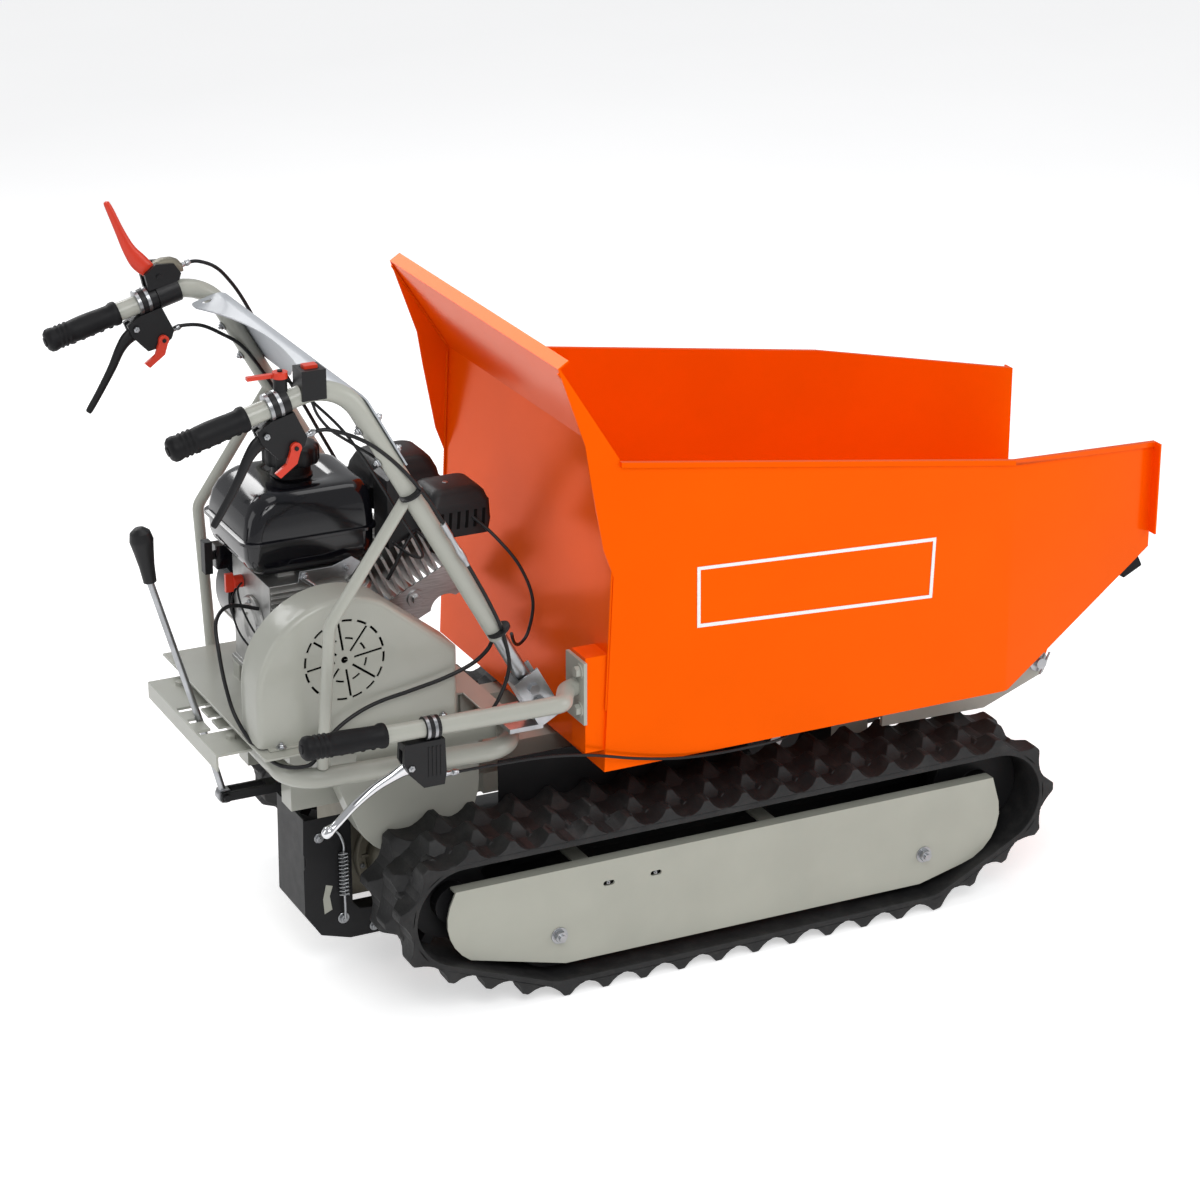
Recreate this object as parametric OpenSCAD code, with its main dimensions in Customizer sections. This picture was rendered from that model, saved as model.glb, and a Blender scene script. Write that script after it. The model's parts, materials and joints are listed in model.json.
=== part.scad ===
// Tracked power wheelbarrow (mini dumper) with a forward-tipping tub.
// Frame: +X forward, +Y to the operator's left, +Z up, ground at Z = 0, origin in the middle of the footprint
// Each sub-part is drawn from the tub's rear rim on the machine's centre plane, then set in the frame.

/* [Tub] */
// Overall width of the tub over its rolled rim
tub_w = 700; // [660:5:740]
// Width of the tub at its pouring end
tub_front_w = 474; // [440:2:500]
// Length from the rear rim to the pouring edge
tub_len = 1119; // [1080:1:1150]
// Where the tub's sides start to draw in
tub_bend_x = 754; // [740:1:765]
// Height of the tub's flat floor above the ground
floor_z = 390; // [386:1:396]
// Height of the rim at the rear
rim_rear_z = 933; // [900:1:960]
// Height of the rim at the pouring edge
rim_front_z = 767; // [750:1:780]
// Height of the lip that the load slides over
lip_z = 566; // [560:1:575]
// Height of the splash shield behind the rim
shield_z = 1107; // [1060:1:1130]
// Sheet thickness of the tub
sheet = 3; // [2.5:0.5:4]

/* [Tracks] */
// Width of each rubber track
track_w = 180; // [170:5:190]
// Overall width over both tracks
track_span = 740; // [730:5:760]
// Number of links in each track
links = 37; // [35:1:38]
// Thickness of the rubber band without its lugs
band_t = 12; // [10:1:14]
// Height of the lugs
lug_h = 20; // [16:1:22]
// Distance between the sprocket and the front idler
wheel_base = 1025; // [1000:5:1040]

/* [Controls] */
// Distance between the two handlebars
bar_span = 616; // [600:2:630]
// Radius of the handlebar tube
bar_r = 16; // [14:0.5:17]
// Length of a hand grip
grip_len = 124; // [110:1:130]

/* [Engine] */
// Height of the crankshaft above the ground
crank_z = 618; // [614:1:622]
// Position of the crankshaft along the machine
crank_x = -420; // [-424:1:-416]

/* [Hidden] */
$fn = 48;

grey = [0.62, 0.63, 0.60];
zinc = [0.75, 0.76, 0.78];
black = [0.10, 0.10, 0.11];
orange = [1.0, 0.36, 0.02];
red = [0.85, 0.16, 0.08];
alloy = [0.70, 0.71, 0.72];

// ---- shared geometry helpers ----
function unit(v) = v / norm(v);
function polar(r, a) = [r * cos(a), r * sin(a)];

// Places children in the frame with origin o and unit axes x, y, z
module place(o, x, y, z)
    multmatrix([[x[0], y[0], z[0], o[0]], [x[1], y[1], z[1], o[1]],
                [x[2], y[2], z[2], o[2]], [0, 0, 0, 1]]) children();

// Straight round bar from a to b
module rod(a, b, r) {
    z = unit(b - a);
    x = unit(cross(abs(z[2]) < 0.9 ? [0, 0, 1] : [1, 0, 0], z));
    place(a, x, cross(z, x), z) cylinder(h = norm(b - a), r = r);
}

// Round tube through the points p with bends of centre-line radius bend.
// Each straight run is seated a little way into its bends, which are a hair thicker.
seat = 1;
module bent_tube(p, bend, r) {
    n = len(p);
    dir = [for (i = [0:n - 2]) unit(p[i + 1] - p[i])];
    turn = [for (i = [0:n - 1]) i == 0 || i == n - 1 ? 0 : acos(min(1, dir[i - 1] * dir[i]))];
    cut = [for (a = turn) bend * tan(a / 2)];
    for (i = [0:n - 2])
        rod(p[i] + dir[i] * (cut[i] - (i > 0 ? seat : 0)),
            p[i + 1] - dir[i] * (cut[i + 1] - (i < n - 2 ? seat : 0)), r);
    for (i = [1:n - 2]) {
        inward = unit(dir[i] - dir[i - 1] * (dir[i] * dir[i - 1]));
        start = p[i] - dir[i - 1] * cut[i];
        place(start + inward * bend, -inward, dir[i - 1], cross(-inward, dir[i - 1]))
            rotate_extrude(angle = turn[i]) translate([bend, 0]) circle(r = r + 0.05);
    }
}

// Extrudes an XZ outline along Y, from y0 to y1
module slab(y0, y1)
    translate([0, y1, 0]) rotate([90, 0, 0]) linear_extrude(height = y1 - y0) children();

// Round bar along Y at [x, z]
module y_pin(c, y0, y1, r) translate([c[0], y1, c[1]]) rotate([90, 0, 0]) cylinder(h = y1 - y0, r = r);

// Hexagon along Y at [x, z]
module y_hex(c, y0, y1, r)
    translate([c[0], y1, c[1]]) rotate([90, 0, 0]) cylinder(h = y1 - y0, r = r, $fn = 6);

module box(lo, hi) translate(lo) cube(hi - lo);

// Copies children to both sides of the centre plane
module both_sides() { children(); mirror([0, 1, 0]) children(); }

// Outline points of an arc about c
function arc_pts(c, r, a0, a1, n = 6) = [for (i = [0:n]) c + polar(r, a0 + (a1 - a0) * i / n)];

// ---- track path: a loop round four wheels ----
wheel_r = 88;
roller_r = 75;
sprocket_c = [-290, 190];
idler_c = [sprocket_c[0] + wheel_base, sprocket_c[1]];
roller_z = roller_r + band_t + lug_h;
rear_roller_c = [-112, roller_z];
front_roller_c = [600, roller_z];
loop = [[rear_roller_c, roller_r], [front_roller_c, roller_r], [idler_c, wheel_r], [sprocket_c, wheel_r]];
function gap(i) = loop[(i + 1) % 4][0] - loop[i][0];
function leave(i) = let (
    a = atan2(gap(i)[1], gap(i)[0]) - acos((loop[i][1] - loop[(i + 1) % 4][1]) / norm(gap(i))))
    a < -91 ? a + 360 : a;
function enter(i) = i == 0 ? leave(3) - 360 : leave(i - 1);
function run(i) = sqrt(pow(norm(gap(i)), 2) - pow(loop[i][1] - loop[(i + 1) % 4][1], 2));
function wrap(i) = (loop[i][1] + band_t / 2) * (leave(i) - enter(i)) * PI / 180;
function along(s, off, i = 0) =
    s < wrap(i) ? loop[i][0] + polar(loop[i][1] + off, enter(i) + s / wrap(i) * (leave(i) - enter(i)))
    : s < wrap(i) + run(i) || i == 3
        ? loop[i][0] + polar(loop[i][1] + off, leave(i)) + polar(s - wrap(i), leave(i) + 90)
        : along(s - wrap(i) - run(i), off, i + 1);
track_len = wrap(0) + wrap(1) + wrap(2) + wrap(3) + run(0) + run(1) + run(2) + run(3);
pitch = track_len / links;
track_out = track_span / 2;
track_in = track_out - track_w;

module track_loop() slab(-track_out, -track_in) difference() {
    polygon([for (k = [0:links - 1]) for (q = [[0, 0], [0.2, 0], [0.38, lug_h], [0.62, lug_h], [0.8, 0]])
        along((k + q[0]) * pitch, band_t + q[1])]);
    polygon([for (i = [0:links * 4 - 1]) along(i * pitch / 4, 0)]);
}
module tracks() color(black) both_sides() track_loop();

// ---- wheels ----
axle_r = 10;
run_fit = 0.05;
wheel_out = 318;
wheel_inn = 238;
beam_y = [-222, -206];
skirt_y = [-348, -344];
sprocket_teeth = 9;
shaft_r = 15;

module roller(c, r) difference() {
    union() {
        y_pin(c, -wheel_out, -wheel_out + 26, r - 1);
        y_pin(c, -wheel_inn - 26, -wheel_inn, r - 1);
        y_pin(c, -wheel_out, -wheel_inn, 30);
    }
    y_pin(c, -wheel_out - 1, -wheel_inn + 1, axle_r + run_fit);
}
// The idler's one rim runs between the two rims of the roller beside it
module idler() difference() {
    union() {
        y_pin(idler_c, -(wheel_out + wheel_inn) / 2 - 12, -(wheel_out + wheel_inn) / 2 + 12, wheel_r - 1);
        y_pin(idler_c, -wheel_out, -wheel_inn, 30);
    }
    y_pin(idler_c, -wheel_out - 1, -wheel_inn + 1, axle_r + run_fit);
}
// Drive wheel with the half-shaft that carries it out of the gearbox
module sprocket() {
    translate([sprocket_c[0], 0, sprocket_c[1]]) rotate([90, 0, 0]) rotate_extrude() polygon([[0, 30],
        [shaft_r, 30], [shaft_r, wheel_inn], [34, wheel_inn], [34, wheel_inn + 24], [70, wheel_inn + 24],
        [70, wheel_out - 24], [34, wheel_out - 24], [34, wheel_out], [shaft_r, wheel_out],
        [shaft_r, wheel_out + 6], [0, wheel_out + 6]]);
    for (k = [0:sprocket_teeth - 1])
        translate([sprocket_c[0], -(wheel_out + wheel_inn) / 2, sprocket_c[1]])
            rotate([0, k * 360 / sprocket_teeth, 0]) translate([60, -13, -9]) cube([25, 26, 18]);
}
module sprocket_right() color(black) sprocket();
module sprocket_left() color(black) mirror([0, 1, 0]) sprocket();
module idler_right() color(black) idler();
module idler_left() color(black) mirror([0, 1, 0]) idler();
module rear_roller_right() color(black) roller(rear_roller_c, roller_r);
module rear_roller_left() color(black) mirror([0, 1, 0]) roller(rear_roller_c, roller_r);
module front_roller_right() color(black) roller(front_roller_c, roller_r);
module front_roller_left() color(black) mirror([0, 1, 0]) roller(front_roller_c, roller_r);

// Axles with a hexagon head outside the skirt and a nut on the beam's inner face
module axle(c, out) {
    y_pin(c, -out, beam_y[1], axle_r);
    y_hex(c, beam_y[1], beam_y[1] + 10, 14);
}
module axle_end(c) {
    y_pin(c, skirt_y[0] - 2, skirt_y[0], 15);
    y_hex(c, skirt_y[0] - 11, skirt_y[0] - 2, 11);
    y_pin(c, skirt_y[0] - 16, skirt_y[0] - 11, 6);
}
module wheel_axles() color(zinc) both_sides() {
    for (c = [rear_roller_c, front_roller_c]) {
        axle(c, -skirt_y[1]);
        y_pin(c, skirt_y[0], skirt_y[1], 6);
        axle_end(c);
    }
    axle(idler_c, wheel_out + 8);
}

// Inner beams that carry the rollers and the idler
module beam_outline() polygon([[-200, 236], [-200, 165], [-158, 84], [-66, 84], [-20, 165], [508, 165],
    [554, 84], [646, 84], [688, 165], [770, 165], [770, 215], [740, 236]]);
module track_beams() color(black) both_sides() difference() {
    union() {
        slab(beam_y[0], beam_y[1]) beam_outline();
        box([-150, beam_y[0] - 14, 196], [700, beam_y[0], 236]);
    }
    for (c = [rear_roller_c, front_roller_c, idler_c]) y_pin(c, beam_y[0] - 40, beam_y[1] + 1, axle_r + 0.02);
}

// Outer skirt plates with a folded top edge
skirt_slots = [-19, 70];
module skirt_outline() polygon(concat([[-300, 228]], arc_pts([-228, 172], 88, 160, 238),
    [[-100, 52], [594, 50]], arc_pts([664, 160], 90, 280, 372), [[738, 228]]));
module track_skirts() color(grey) both_sides() difference() {
    union() {
        slab(skirt_y[0], skirt_y[1]) skirt_outline();
        box([-300, skirt_y[0], 224], [738, skirt_y[0] + 24, 228]);
        for (x = [-60, 300]) box([x, skirt_y[1], 206], [x + 30, beam_y[0] - 14, 210]);
    }
    for (c = [rear_roller_c, front_roller_c]) y_pin(c, skirt_y[0] - 1, skirt_y[1] + 1, 6.02);
    for (x = skirt_slots) {
        y_pin([x - 6, 185], skirt_y[0] - 1, skirt_y[1] + 1, 4.5);
        box([x - 6, skirt_y[0] - 1, 180.5], [x + 6, skirt_y[1] + 1, 189.5]);
        y_pin([x + 6, 185], skirt_y[0] - 1, skirt_y[1] + 1, 4.5);
    }
}

// ---- main frame ----
rail_in = 80;
rail_out = 125;
rail_z = [322, 372];
pivot = [880, 392];
pin_r = 10;
nose_y = [-258, -250];
module main_frame() color(grey) difference() {
    union() {
        both_sides() {
            box([-400, -rail_out, rail_z[0]], [770, -rail_in, rail_z[1]]);
            for (x = [-60, 560]) {
                box([x, -rail_out, 180], [x + 50, -rail_in, rail_z[0]]);
                box([x, beam_y[1], 180], [x + 50, -rail_in, 226]);
            }
            box([-400, -rail_out, 371], [-180, -rail_in, 400]);
            for (x = [-500, -190]) box([x, -rail_out, 371], [x + 40, -rail_in, 480]);
            box([-500, -rail_out, 322], [-400, -rail_in, 372]);
            slab(nose_y[0], nose_y[1]) polygon([[560, 372], [560, 326], [770, 322],
                [pivot[0] + 12, pivot[1] - 24], [pivot[0] + 22, pivot[1]], [pivot[0] + 12, pivot[1] + 18],
                [pivot[0] - 16, pivot[1] + 18], [800, 372]]);
        }
        for (x = [600, 730]) box([x, nose_y[1] - 1, 330], [x + 40, -nose_y[1] + 1, 366]);
        for (x = [-420, 200]) box([x, -rail_in - 1, 326], [x + 40, rail_in + 1, 368]);
        // striker bar for the tub latch
        y_pin([92, 356], -rail_in - 1, rail_in + 1, 6);
        both_sides() for (x = [200, 500]) box([x, -rail_out, 371], [x + 60, -rail_in, floor_z - 0.1]);
    }
    y_pin(pivot, nose_y[0] - 1, -nose_y[0] + 1, pin_r + 0.02);
    y_pin(driven_c, -rail_out - 1, -rail_in + 1, 50);
}
module hinge_pin() color(zinc) {
    y_pin(pivot, nose_y[0] - 14, -nose_y[0] + 14, pin_r);
    both_sides() {
        y_pin(pivot, nose_y[0] - 3, nose_y[0], 18);
        translate([pivot[0], nose_y[0] - 9, pivot[1] - 22]) rotate([0, 25, 0]) cylinder(h = 44, r = 2);
    }
}

// ---- guard tube, deck and gate ----
guard_z = 440;
guard_r = 17;
module guard_tube() color(grey) {
    side = 288;
    rear = -546;
    front = -150;
    bent_tube([[front, -rail_out - 2, guard_z], [front, -side, guard_z], [rear, -side + 30, guard_z],
        [rear, side, guard_z], [front, side, guard_z], [front, rail_out + 2, guard_z]], 62, guard_r);
}
deck_z = 484;
base_z = 512;
cover_top_x = [-512, -190];
module engine_deck() color(grey) difference() {
    union() {
        box([-588, -250, deck_z - 4], [-150, 250, deck_z]);
        both_sides() box([-430, -250, 446], [-180, -246, deck_z]);
        for (y = [-50, 78]) box([-510, y, deck_z], [-320, y + 30, base_z]);
    }
    box([cover_top_x[0], -208, 470], [cover_top_x[1], -134, deck_z + 1]);
}
gate_slot = [-630, -570];
module gate_plate() color(grey) difference() {
    union() {
        box([-636, -150, 457.2], [-530, 192, 462]);
        box([-636, -150, 432], [-632, 192, 462]);
        for (y = [-95, 155]) translate([-590, y, 461.9]) cylinder(h = 7, r = 9, $fn = 6);
    }
    for (y = [-60, -8, 44]) box([gate_slot[0], y, 450], [gate_slot[1], y + 16, 470]);
    box([-607, -60, 450], [-593, 60, 470]);
}

// ---- handlebars ----
by = bar_span / 2;
grip_end = [-737, -by, 1054];
bend_pt = [-464, -by, 1129];
sleeve_end = [-201, -by, 654];
bar_dir = unit(sleeve_end - bend_pt);
grip_dir = unit(grip_end - bend_pt);
socket_end = sleeve_end + bar_dir * 150;
brace_top = [-352, -by, 921];
brace_bend = [-492, -by, 722];
brace_foot = [-494, -262, 459];
tube_in_r = 13;
bar_bend = 84;
module handlebars() color(grey) both_sides() difference() {
    union() {
        bar_tube(0);
        bent_tube([brace_top, brace_bend, brace_foot], 30, 10);
    }
    rod(sleeve_end - bar_dir * 70, sleeve_end + bar_dir * 2, tube_in_r + 0.05);
}
module bar_sockets() color(zinc) both_sides() {
    rod(sleeve_end - bar_dir * 68, socket_end, tube_in_r);
    place(socket_end - bar_dir * 66, [0, 1, 0], cross(bar_dir, [0, 1, 0]), bar_dir) difference() {
        translate([-20, -24, 0]) cube([40, 48, 95]);
        translate([-16, -12, -1]) cube([32, 60, 100]);
    }
    box([-190, -by - 20, deck_z], [-130, -226, deck_z + 8]);
    y_hex([socket_end[0] - 20, socket_end[2] + 36], -by - 29, -by - 19.5, 10);
    y_hex([socket_end[0] - 8, socket_end[2] + 10], -by - 29, -by - 19.5, 10);
}
// Console: a panel on the front of the bars that folds back between them at the top
console_top = bend_pt + bar_dir * 34;
console_out = [-bar_dir[2], 0, bar_dir[0]];
console_len = 152;
module console_plate() color([0.75, 0.77, 0.79]) {
    o = [console_top[0], 0, console_top[2]] + console_out * (bar_r + 0.1);
    place(o, bar_dir, [0, 1, 0], console_out) difference() {
        translate([0, -by - 12, 0]) cube([console_len, bar_span + 24, 3]);
        translate([console_len + 200, 0, -10]) cylinder(h = 20, r = 260, $fn = 96);
    }
    place(o + console_out * 2.9, grip_dir, [0, 1, 0], cross(grip_dir, [0, 1, 0])) difference() {
        translate([-1, -by + bar_r + 4, -1]) cube([66, bar_span - 2 * bar_r - 8, 3]);
        translate([626, 0, -5]) cylinder(h = 10, r = 600, $fn = 96);
        for (s = [-1, 1]) translate([38, s * (by - 34), -5]) cylinder(h = 10, r = 8);
    }
    for (s = [-1, 1]) for (d = [60, 124])
        place(o + [0, s * by, 0] + bar_dir * d, bar_dir, [0, 1, 0], console_out)
            translate([0, 0, 2.9]) cylinder(h = 6, r = 7);
}
module hand_grips() color(black) both_sides() difference() {
    union() {
        rod(grip_end + grip_dir * 8, grip_end - grip_dir * grip_len, 19);
        rod(grip_end + grip_dir * 8, grip_end - grip_dir * 6, 20);
        rod(grip_end - grip_dir * (grip_len - 4), grip_end - grip_dir * grip_len, 21);
    }
    rod(grip_end + grip_dir * 2, grip_end - grip_dir * (grip_len + 2), bar_r + 0.02);
}

// ---- control levers ----
// Places an outline drawn along the bar (x forward) and square to it (y down) at the lever's pivot
lever_pivot = [-591, -by, 1058];
module lever_slab(y0, y1) place(lever_pivot, -grip_dir, cross([0, 1, 0], -grip_dir), [0, 1, 0])
    translate([0, 0, -y1]) linear_extrude(height = y1 - y0) children();
module lever_pin(p, y0, y1, r) lever_slab(y0, y1) translate(p) circle(r = r);
catch_pt = [38, 36];
cheek = 14;
module bar_tube(extra) bent_tube([grip_end + grip_dir * -2, bend_pt, sleeve_end], bar_bend, bar_r + extra);
module bar_clamp(a, len, r) {
    o = [lever_pivot[0], -by, lever_pivot[2]] - grip_dir * a + cross(grip_dir, [0, -1, 0]) * 37;
    difference() {
        rod(o, o - grip_dir * len, r);
        bar_tube(0.1);
    }
}
module steering_perch() {
    difference() {
        lever_slab(-cheek, cheek) polygon([[-12, -10], [-10, 10], [0, 30], [8, 46], [36, 48], [54, 40],
            [62, 28], [58, 6], [54, -18], [14, -18]]);
        lever_slab(-6, 6) polygon([[-20, -12], [-20, 60], [40, 60], [46, 30], [42, -6], [12, -13]]);
    }
    bar_clamp(18, 34, 21);
    lever_pin([0, 0], -cheek - 3, cheek + 3, 4);
    lever_pin(catch_pt, cheek - 2, cheek + 9, 3.5);
}
throttle_x = -560;
module lever_perches() color(black) {
    for (k = [0, 1]) translate([0, k * bar_span, 0]) steering_perch();
    // clutch perch on the left bar
    mirror([0, 1, 0]) bar_clamp(53, 40, 24);
    for (y = [-18, 10]) slab(by + y, by + y + 8) polygon([[-566, 1122], [-572, 1150], [-552, 1166],
        [-520, 1164], [-508, 1146], [-512, 1134]]);
    y_pin([-548, 1145], by - 21, by + 21, 4);
    // throttle post on the right bar
    translate([throttle_x, -by, 1122.6]) cylinder(h = 20.4, r = 11);
    translate([throttle_x, -by, 1122.6]) cylinder(h = 34, r = 4);
}
module steering_lever() difference() {
    lever_slab(-5.8, 5.8) polygon([[-8, -7], [8, -6], [10, 14], [26, 34], [14, 38], [-6, 26], [-36, 38],
        [-114, 116], [-126, 106], [-46, 24], [-24, 6]]);
    lever_pin([0, 0], -10, 10, 4.05);
}
module steering_lever_right() color(black) steering_lever();
module steering_lever_left() color(black) translate([0, bar_span, 0]) steering_lever();
module lock_catch() difference() {
    union() {
        lever_pin(catch_pt, cheek + 1, cheek + 7, 9);
        lever_slab(cheek + 1, cheek + 7) polygon([[34, 28], [47, 37], [32, 60], [0, 72], [-6, 62],
            [16, 54], [26, 40]]);
    }
    lever_pin(catch_pt, cheek, cheek + 8, 3.55);
}
module lock_catch_right() color(red) lock_catch();
module lock_catch_left() color(red) translate([0, bar_span, 0]) lock_catch();
module clutch_lever() color(red) difference() {
    slab(by - 9.5, by + 9.5) polygon([[-539, 1138], [-538, 1153], [-556, 1164], [-576, 1182], [-622, 1280],
        [-632, 1277], [-598, 1190], [-572, 1154], [-560, 1140], [-549, 1134.5]]);
    y_pin([-548, 1145], by - 10, by + 10, 4.05);
}
module throttle_lever() color(red) difference() {
    union() {
        translate([throttle_x, -by, 1143.5]) cylinder(h = 10, r = 12);
        translate([throttle_x - 52, -by + 2, 1143.5]) cube([46, 9, 6]);
    }
    translate([throttle_x, -by, 1140]) cylinder(h = 20, r = 4.05);
}
switch_o = [-512, -by, 1118];
module switch_housing() color(black) difference() {
    box(switch_o + [-20, -20, -12], switch_o + [20, 20, 36]);
    bar_tube(0.1);
    difference() {
        box(switch_o + [-13, -9, 26], switch_o + [13, 9, 38]);
        y_pin([switch_o[0], switch_o[2] + 33], -by - 10, -by + 10, 1.95);
    }
}
module stop_rocker() color(red) difference() {
    box(switch_o + [-11, -8, 30], switch_o + [11, 8, 41]);
    y_pin([switch_o[0], switch_o[2] + 33], -by - 10, -by + 10, 2);
}

// ---- gearbox and shift ----
module gearbox() color(alloy) difference() {
    union() {
        box([-378, -78, 120], [-210, 78, 290]);
        y_pin(sprocket_c, -130, 130, 62);
        y_pin(sprocket_c, -196, 196, 34);
        y_pin(driven_c, -124, -20, 40);
        both_sides() box([-360, 40, 289], [-240, 124, rail_z[0] - 0.05]);
        box([-336, -78, 289], [-264, -20, 320]);
    }
    y_pin(sprocket_c, -200, 200, shaft_r + run_fit);
    y_pin(driven_c, -140, -30, 12.55);
}
module rear_guard() color(black) {
    slab(-120, 5) polygon([[-478, 300], [-480, 120], [-452, 78], [-400, 62], [-250, 62], [-250, 66],
        [-398, 66],
        [-450, 82], [-476, 122], [-474, 300]]);
}
shift_pivot = [-574, 317];
module shift_bracket() color(black) {
    both_sides() box([-582, 9, 309], [-500, 15, 325]);
    box([-500, -15, 309], [-386, 15, 325]);
    y_pin(shift_pivot, -22, 22, 6);
}
knob_base = [-684, 721];
rod_base = [-605, 440];
module shift_lever() color(zinc) difference() {
    union() {
        bent_tube([[knob_base[0], 0, knob_base[1]], [rod_base[0], 0, rod_base[1]],
            [shift_pivot[0], 0, shift_pivot[1]]], 40, 6);
        y_pin(shift_pivot, -8.5, 8.5, 13);
    }
    y_pin(shift_pivot, -9, 9, 6.05);
}
module shift_knob() color(black) {
    d = unit([-698 - knob_base[0], 0, 816 - knob_base[1]]);
    o = [knob_base[0], 0, knob_base[1]];
    place(o, cross([0, 1, 0], d), [0, 1, 0], d) rotate_extrude() polygon([[0, 1], [11, 1], [13, 30], [17, 58],
        [20, 76], [17, 90], [9, 97], [0, 99]]);
}

// ---- engine ----
crank = [crank_x, crank_z];
module crankcase() color(alloy) difference() {
    union() {
        box([-500, -58, base_z + 8], [-338, 118, 700]);
        box([-508, -58, base_z], [-326, 118, base_z + 8]);
        y_pin(crank, -72, -58, 62);
        box([-470, -20, 699], [-440, 80, 711.95]);
    }
    y_pin(crank, -80, 130, 15.05);
}
head_tilt = 25;
cyl_o = [-338, 30, 660];
module cylinder_frame() translate(cyl_o) rotate([0, -head_tilt, 0]) children();
module cylinder_block() color(alloy) difference() {
    union() {
        cylinder_frame() rotate([0, 90, 0]) cylinder(h = 165, r = 32);
        cylinder_frame() for (k = [0:9]) translate([14 + k * 15, -80, -54]) cube([5, 150, k < 4 ? 84 : 100]);
        cylinder_frame() translate([150, -70, -50]) cube([34, 130, 92]);
    }
    box([-420, -100, 500], [-337.9, 160, 800]);
    box([-420, -100, 500], [-325, 160, 520]);
}
module head_baffle() color(zinc) cylinder_frame() {
    difference() {
        translate([18, -84, -102]) cube([140, 3, 60]);
        translate([118, -90, -118]) rotate([-90, 0, 0]) cylinder(h = 20, r = 30);
    }
    translate([80, -83, -66]) rotate([90, 0, 0]) cylinder(h = 5, r = 16);
    translate([80, -87, -66]) rotate([90, 0, 0]) cylinder(h = 7, r = 9, $fn = 6);
}
module engine_shroud() color(black) difference() {
    slab(-76, -14) polygon([[-294, 738], [-294, 858], [-282, 864], [-236, 832], [-236, 764]]);
    for (k = [0:5])
        translate([-286, -72 + k * 10, 840]) rotate([0, 35, 0]) translate([4, 0, 0]) cube([34, 5, 30]);
}
tank_seam = 775;
module fuel_tank() color(black) difference() {
    union() {
        hull() {
            box([-530, -48, tank_seam - 1], [-300, 163, tank_seam + 8]);
            box([-512, -44, 826], [-300, 158, 828]);
            box([-488, -40, 848], [-306, 152, 850]);
        }
        box([-537, -54, tank_seam - 6], [-297, 169, tank_seam]);
        hull() {
            box([-530, -48, 730], [-302, 163, tank_seam - 5]);
            box([-516, -38, 712], [-310, 150, 714]);
        }
        translate([neck[0], neck[1], 840]) cylinder(h = 44, r = 33);
    }
    translate([neck[0], neck[1], 780]) cylinder(h = 110, r = 24);
}
neck = [-411, 58];
module fuel_cap() color(black) difference() {
    union() {
        translate([neck[0], neck[1], 871]) cylinder(h = 32, r = 45);
        for (k = [0:11]) rotate_about(neck, k * 30) translate([neck[0] + 42, neck[1], 874])
            cylinder(h = 26, r = 6, $fn = 16);
    }
    translate([neck[0], neck[1], 868]) cylinder(h = 20, r = 35);
}
module rotate_about(c, a)
    translate([c[0], c[1], 0]) rotate([0, 0, a]) translate([-c[0], -c[1], 0]) children();
module air_cleaner() color(black) {
    hull() {
        box([-292, -2, 782], [-162, 122, 838]);
        box([-280, 8, 838], [-174, 112, 862]);
    }
}
module muffler() color(black) difference() {
    union() {
        hull() {
            box([-234, -118, 782], [-124, -12, 818]);
            box([-228, -110, 818], [-134, -20, 838]);
        }
        box([-234, -118, 756], [-124, -90, 783]);
        rod([-126, -96, 800], [-110, -96, 800], 10);
    }
    for (k = [0:4]) box([-216 + k * 17, -119, 770], [-210 + k * 17, -112, 804]);
    translate([-196, -60, 832]) cylinder(h = 10, r = 9);
}
// Y and Z of the starter rope
recoil_o = [164, 684];
module recoil_housing() color(black) difference() {
    union() {
        y_pin(crank, 118.1, 180, 90);
        y_pin(crank, 179, 196, 66);
        box([-516, 150, 662], [-470, 178, 704]);
    }
    y_pin(crank, 110, 176, 85);
    rod([-520, recoil_o[0], recoil_o[1]], [-460, recoil_o[0], recoil_o[1]], 3.5);
}
module recoil_handle() color(black) {
    box([-536, recoil_o[0] - 10, recoil_o[1] - 30], [-522, recoil_o[0] + 10, recoil_o[1] + 28]);
    rod([-524, recoil_o[0], recoil_o[1]], [-517, recoil_o[0], recoil_o[1]], 8);
    rod([-518, recoil_o[0], recoil_o[1]], [-486, recoil_o[0], recoil_o[1]], 2.5);
}
switch_c = [-501, 70, 668];
module engine_switch() color(red) {
    translate(switch_c - [16, 0, 0]) rotate([0, 90, 0]) cylinder(h = 15.8, r = 11);
    box(switch_c + [-30, -4, -16], switch_c + [-16, 4, 16]);
}
belt_y = [-178, -160];
drive_r = 48;
driven_c = [-300, 330];
driven_r = 88;
module crankshaft() color(zinc) {
    y_pin(crank, -182, 116, 15);
    difference() {
        union() {
            y_pin(crank, belt_y[0], belt_y[1], drive_r - 9);
            y_pin(crank, belt_y[0] - 3, belt_y[0], drive_r + 3);
            y_pin(crank, belt_y[1], belt_y[1] + 3, drive_r + 3);
        }
        y_pin([crank[0] + 32, crank[1]], -200, -150, 5);
    }
}
module driven_pulley() color(zinc) {
    y_pin(driven_c, -178, -32, 12.5);
    difference() {
        union() {
            y_pin(driven_c, belt_y[0], belt_y[1], driven_r - 9);
            y_pin(driven_c, belt_y[0] - 2, belt_y[0], driven_r + 3);
            y_pin(driven_c, belt_y[1], belt_y[1] + 2, driven_r + 3);
        }
        for (k = [0:4]) y_pin(driven_c + polar(56, k * 72), -200, -150, 14);
    }
}
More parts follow.
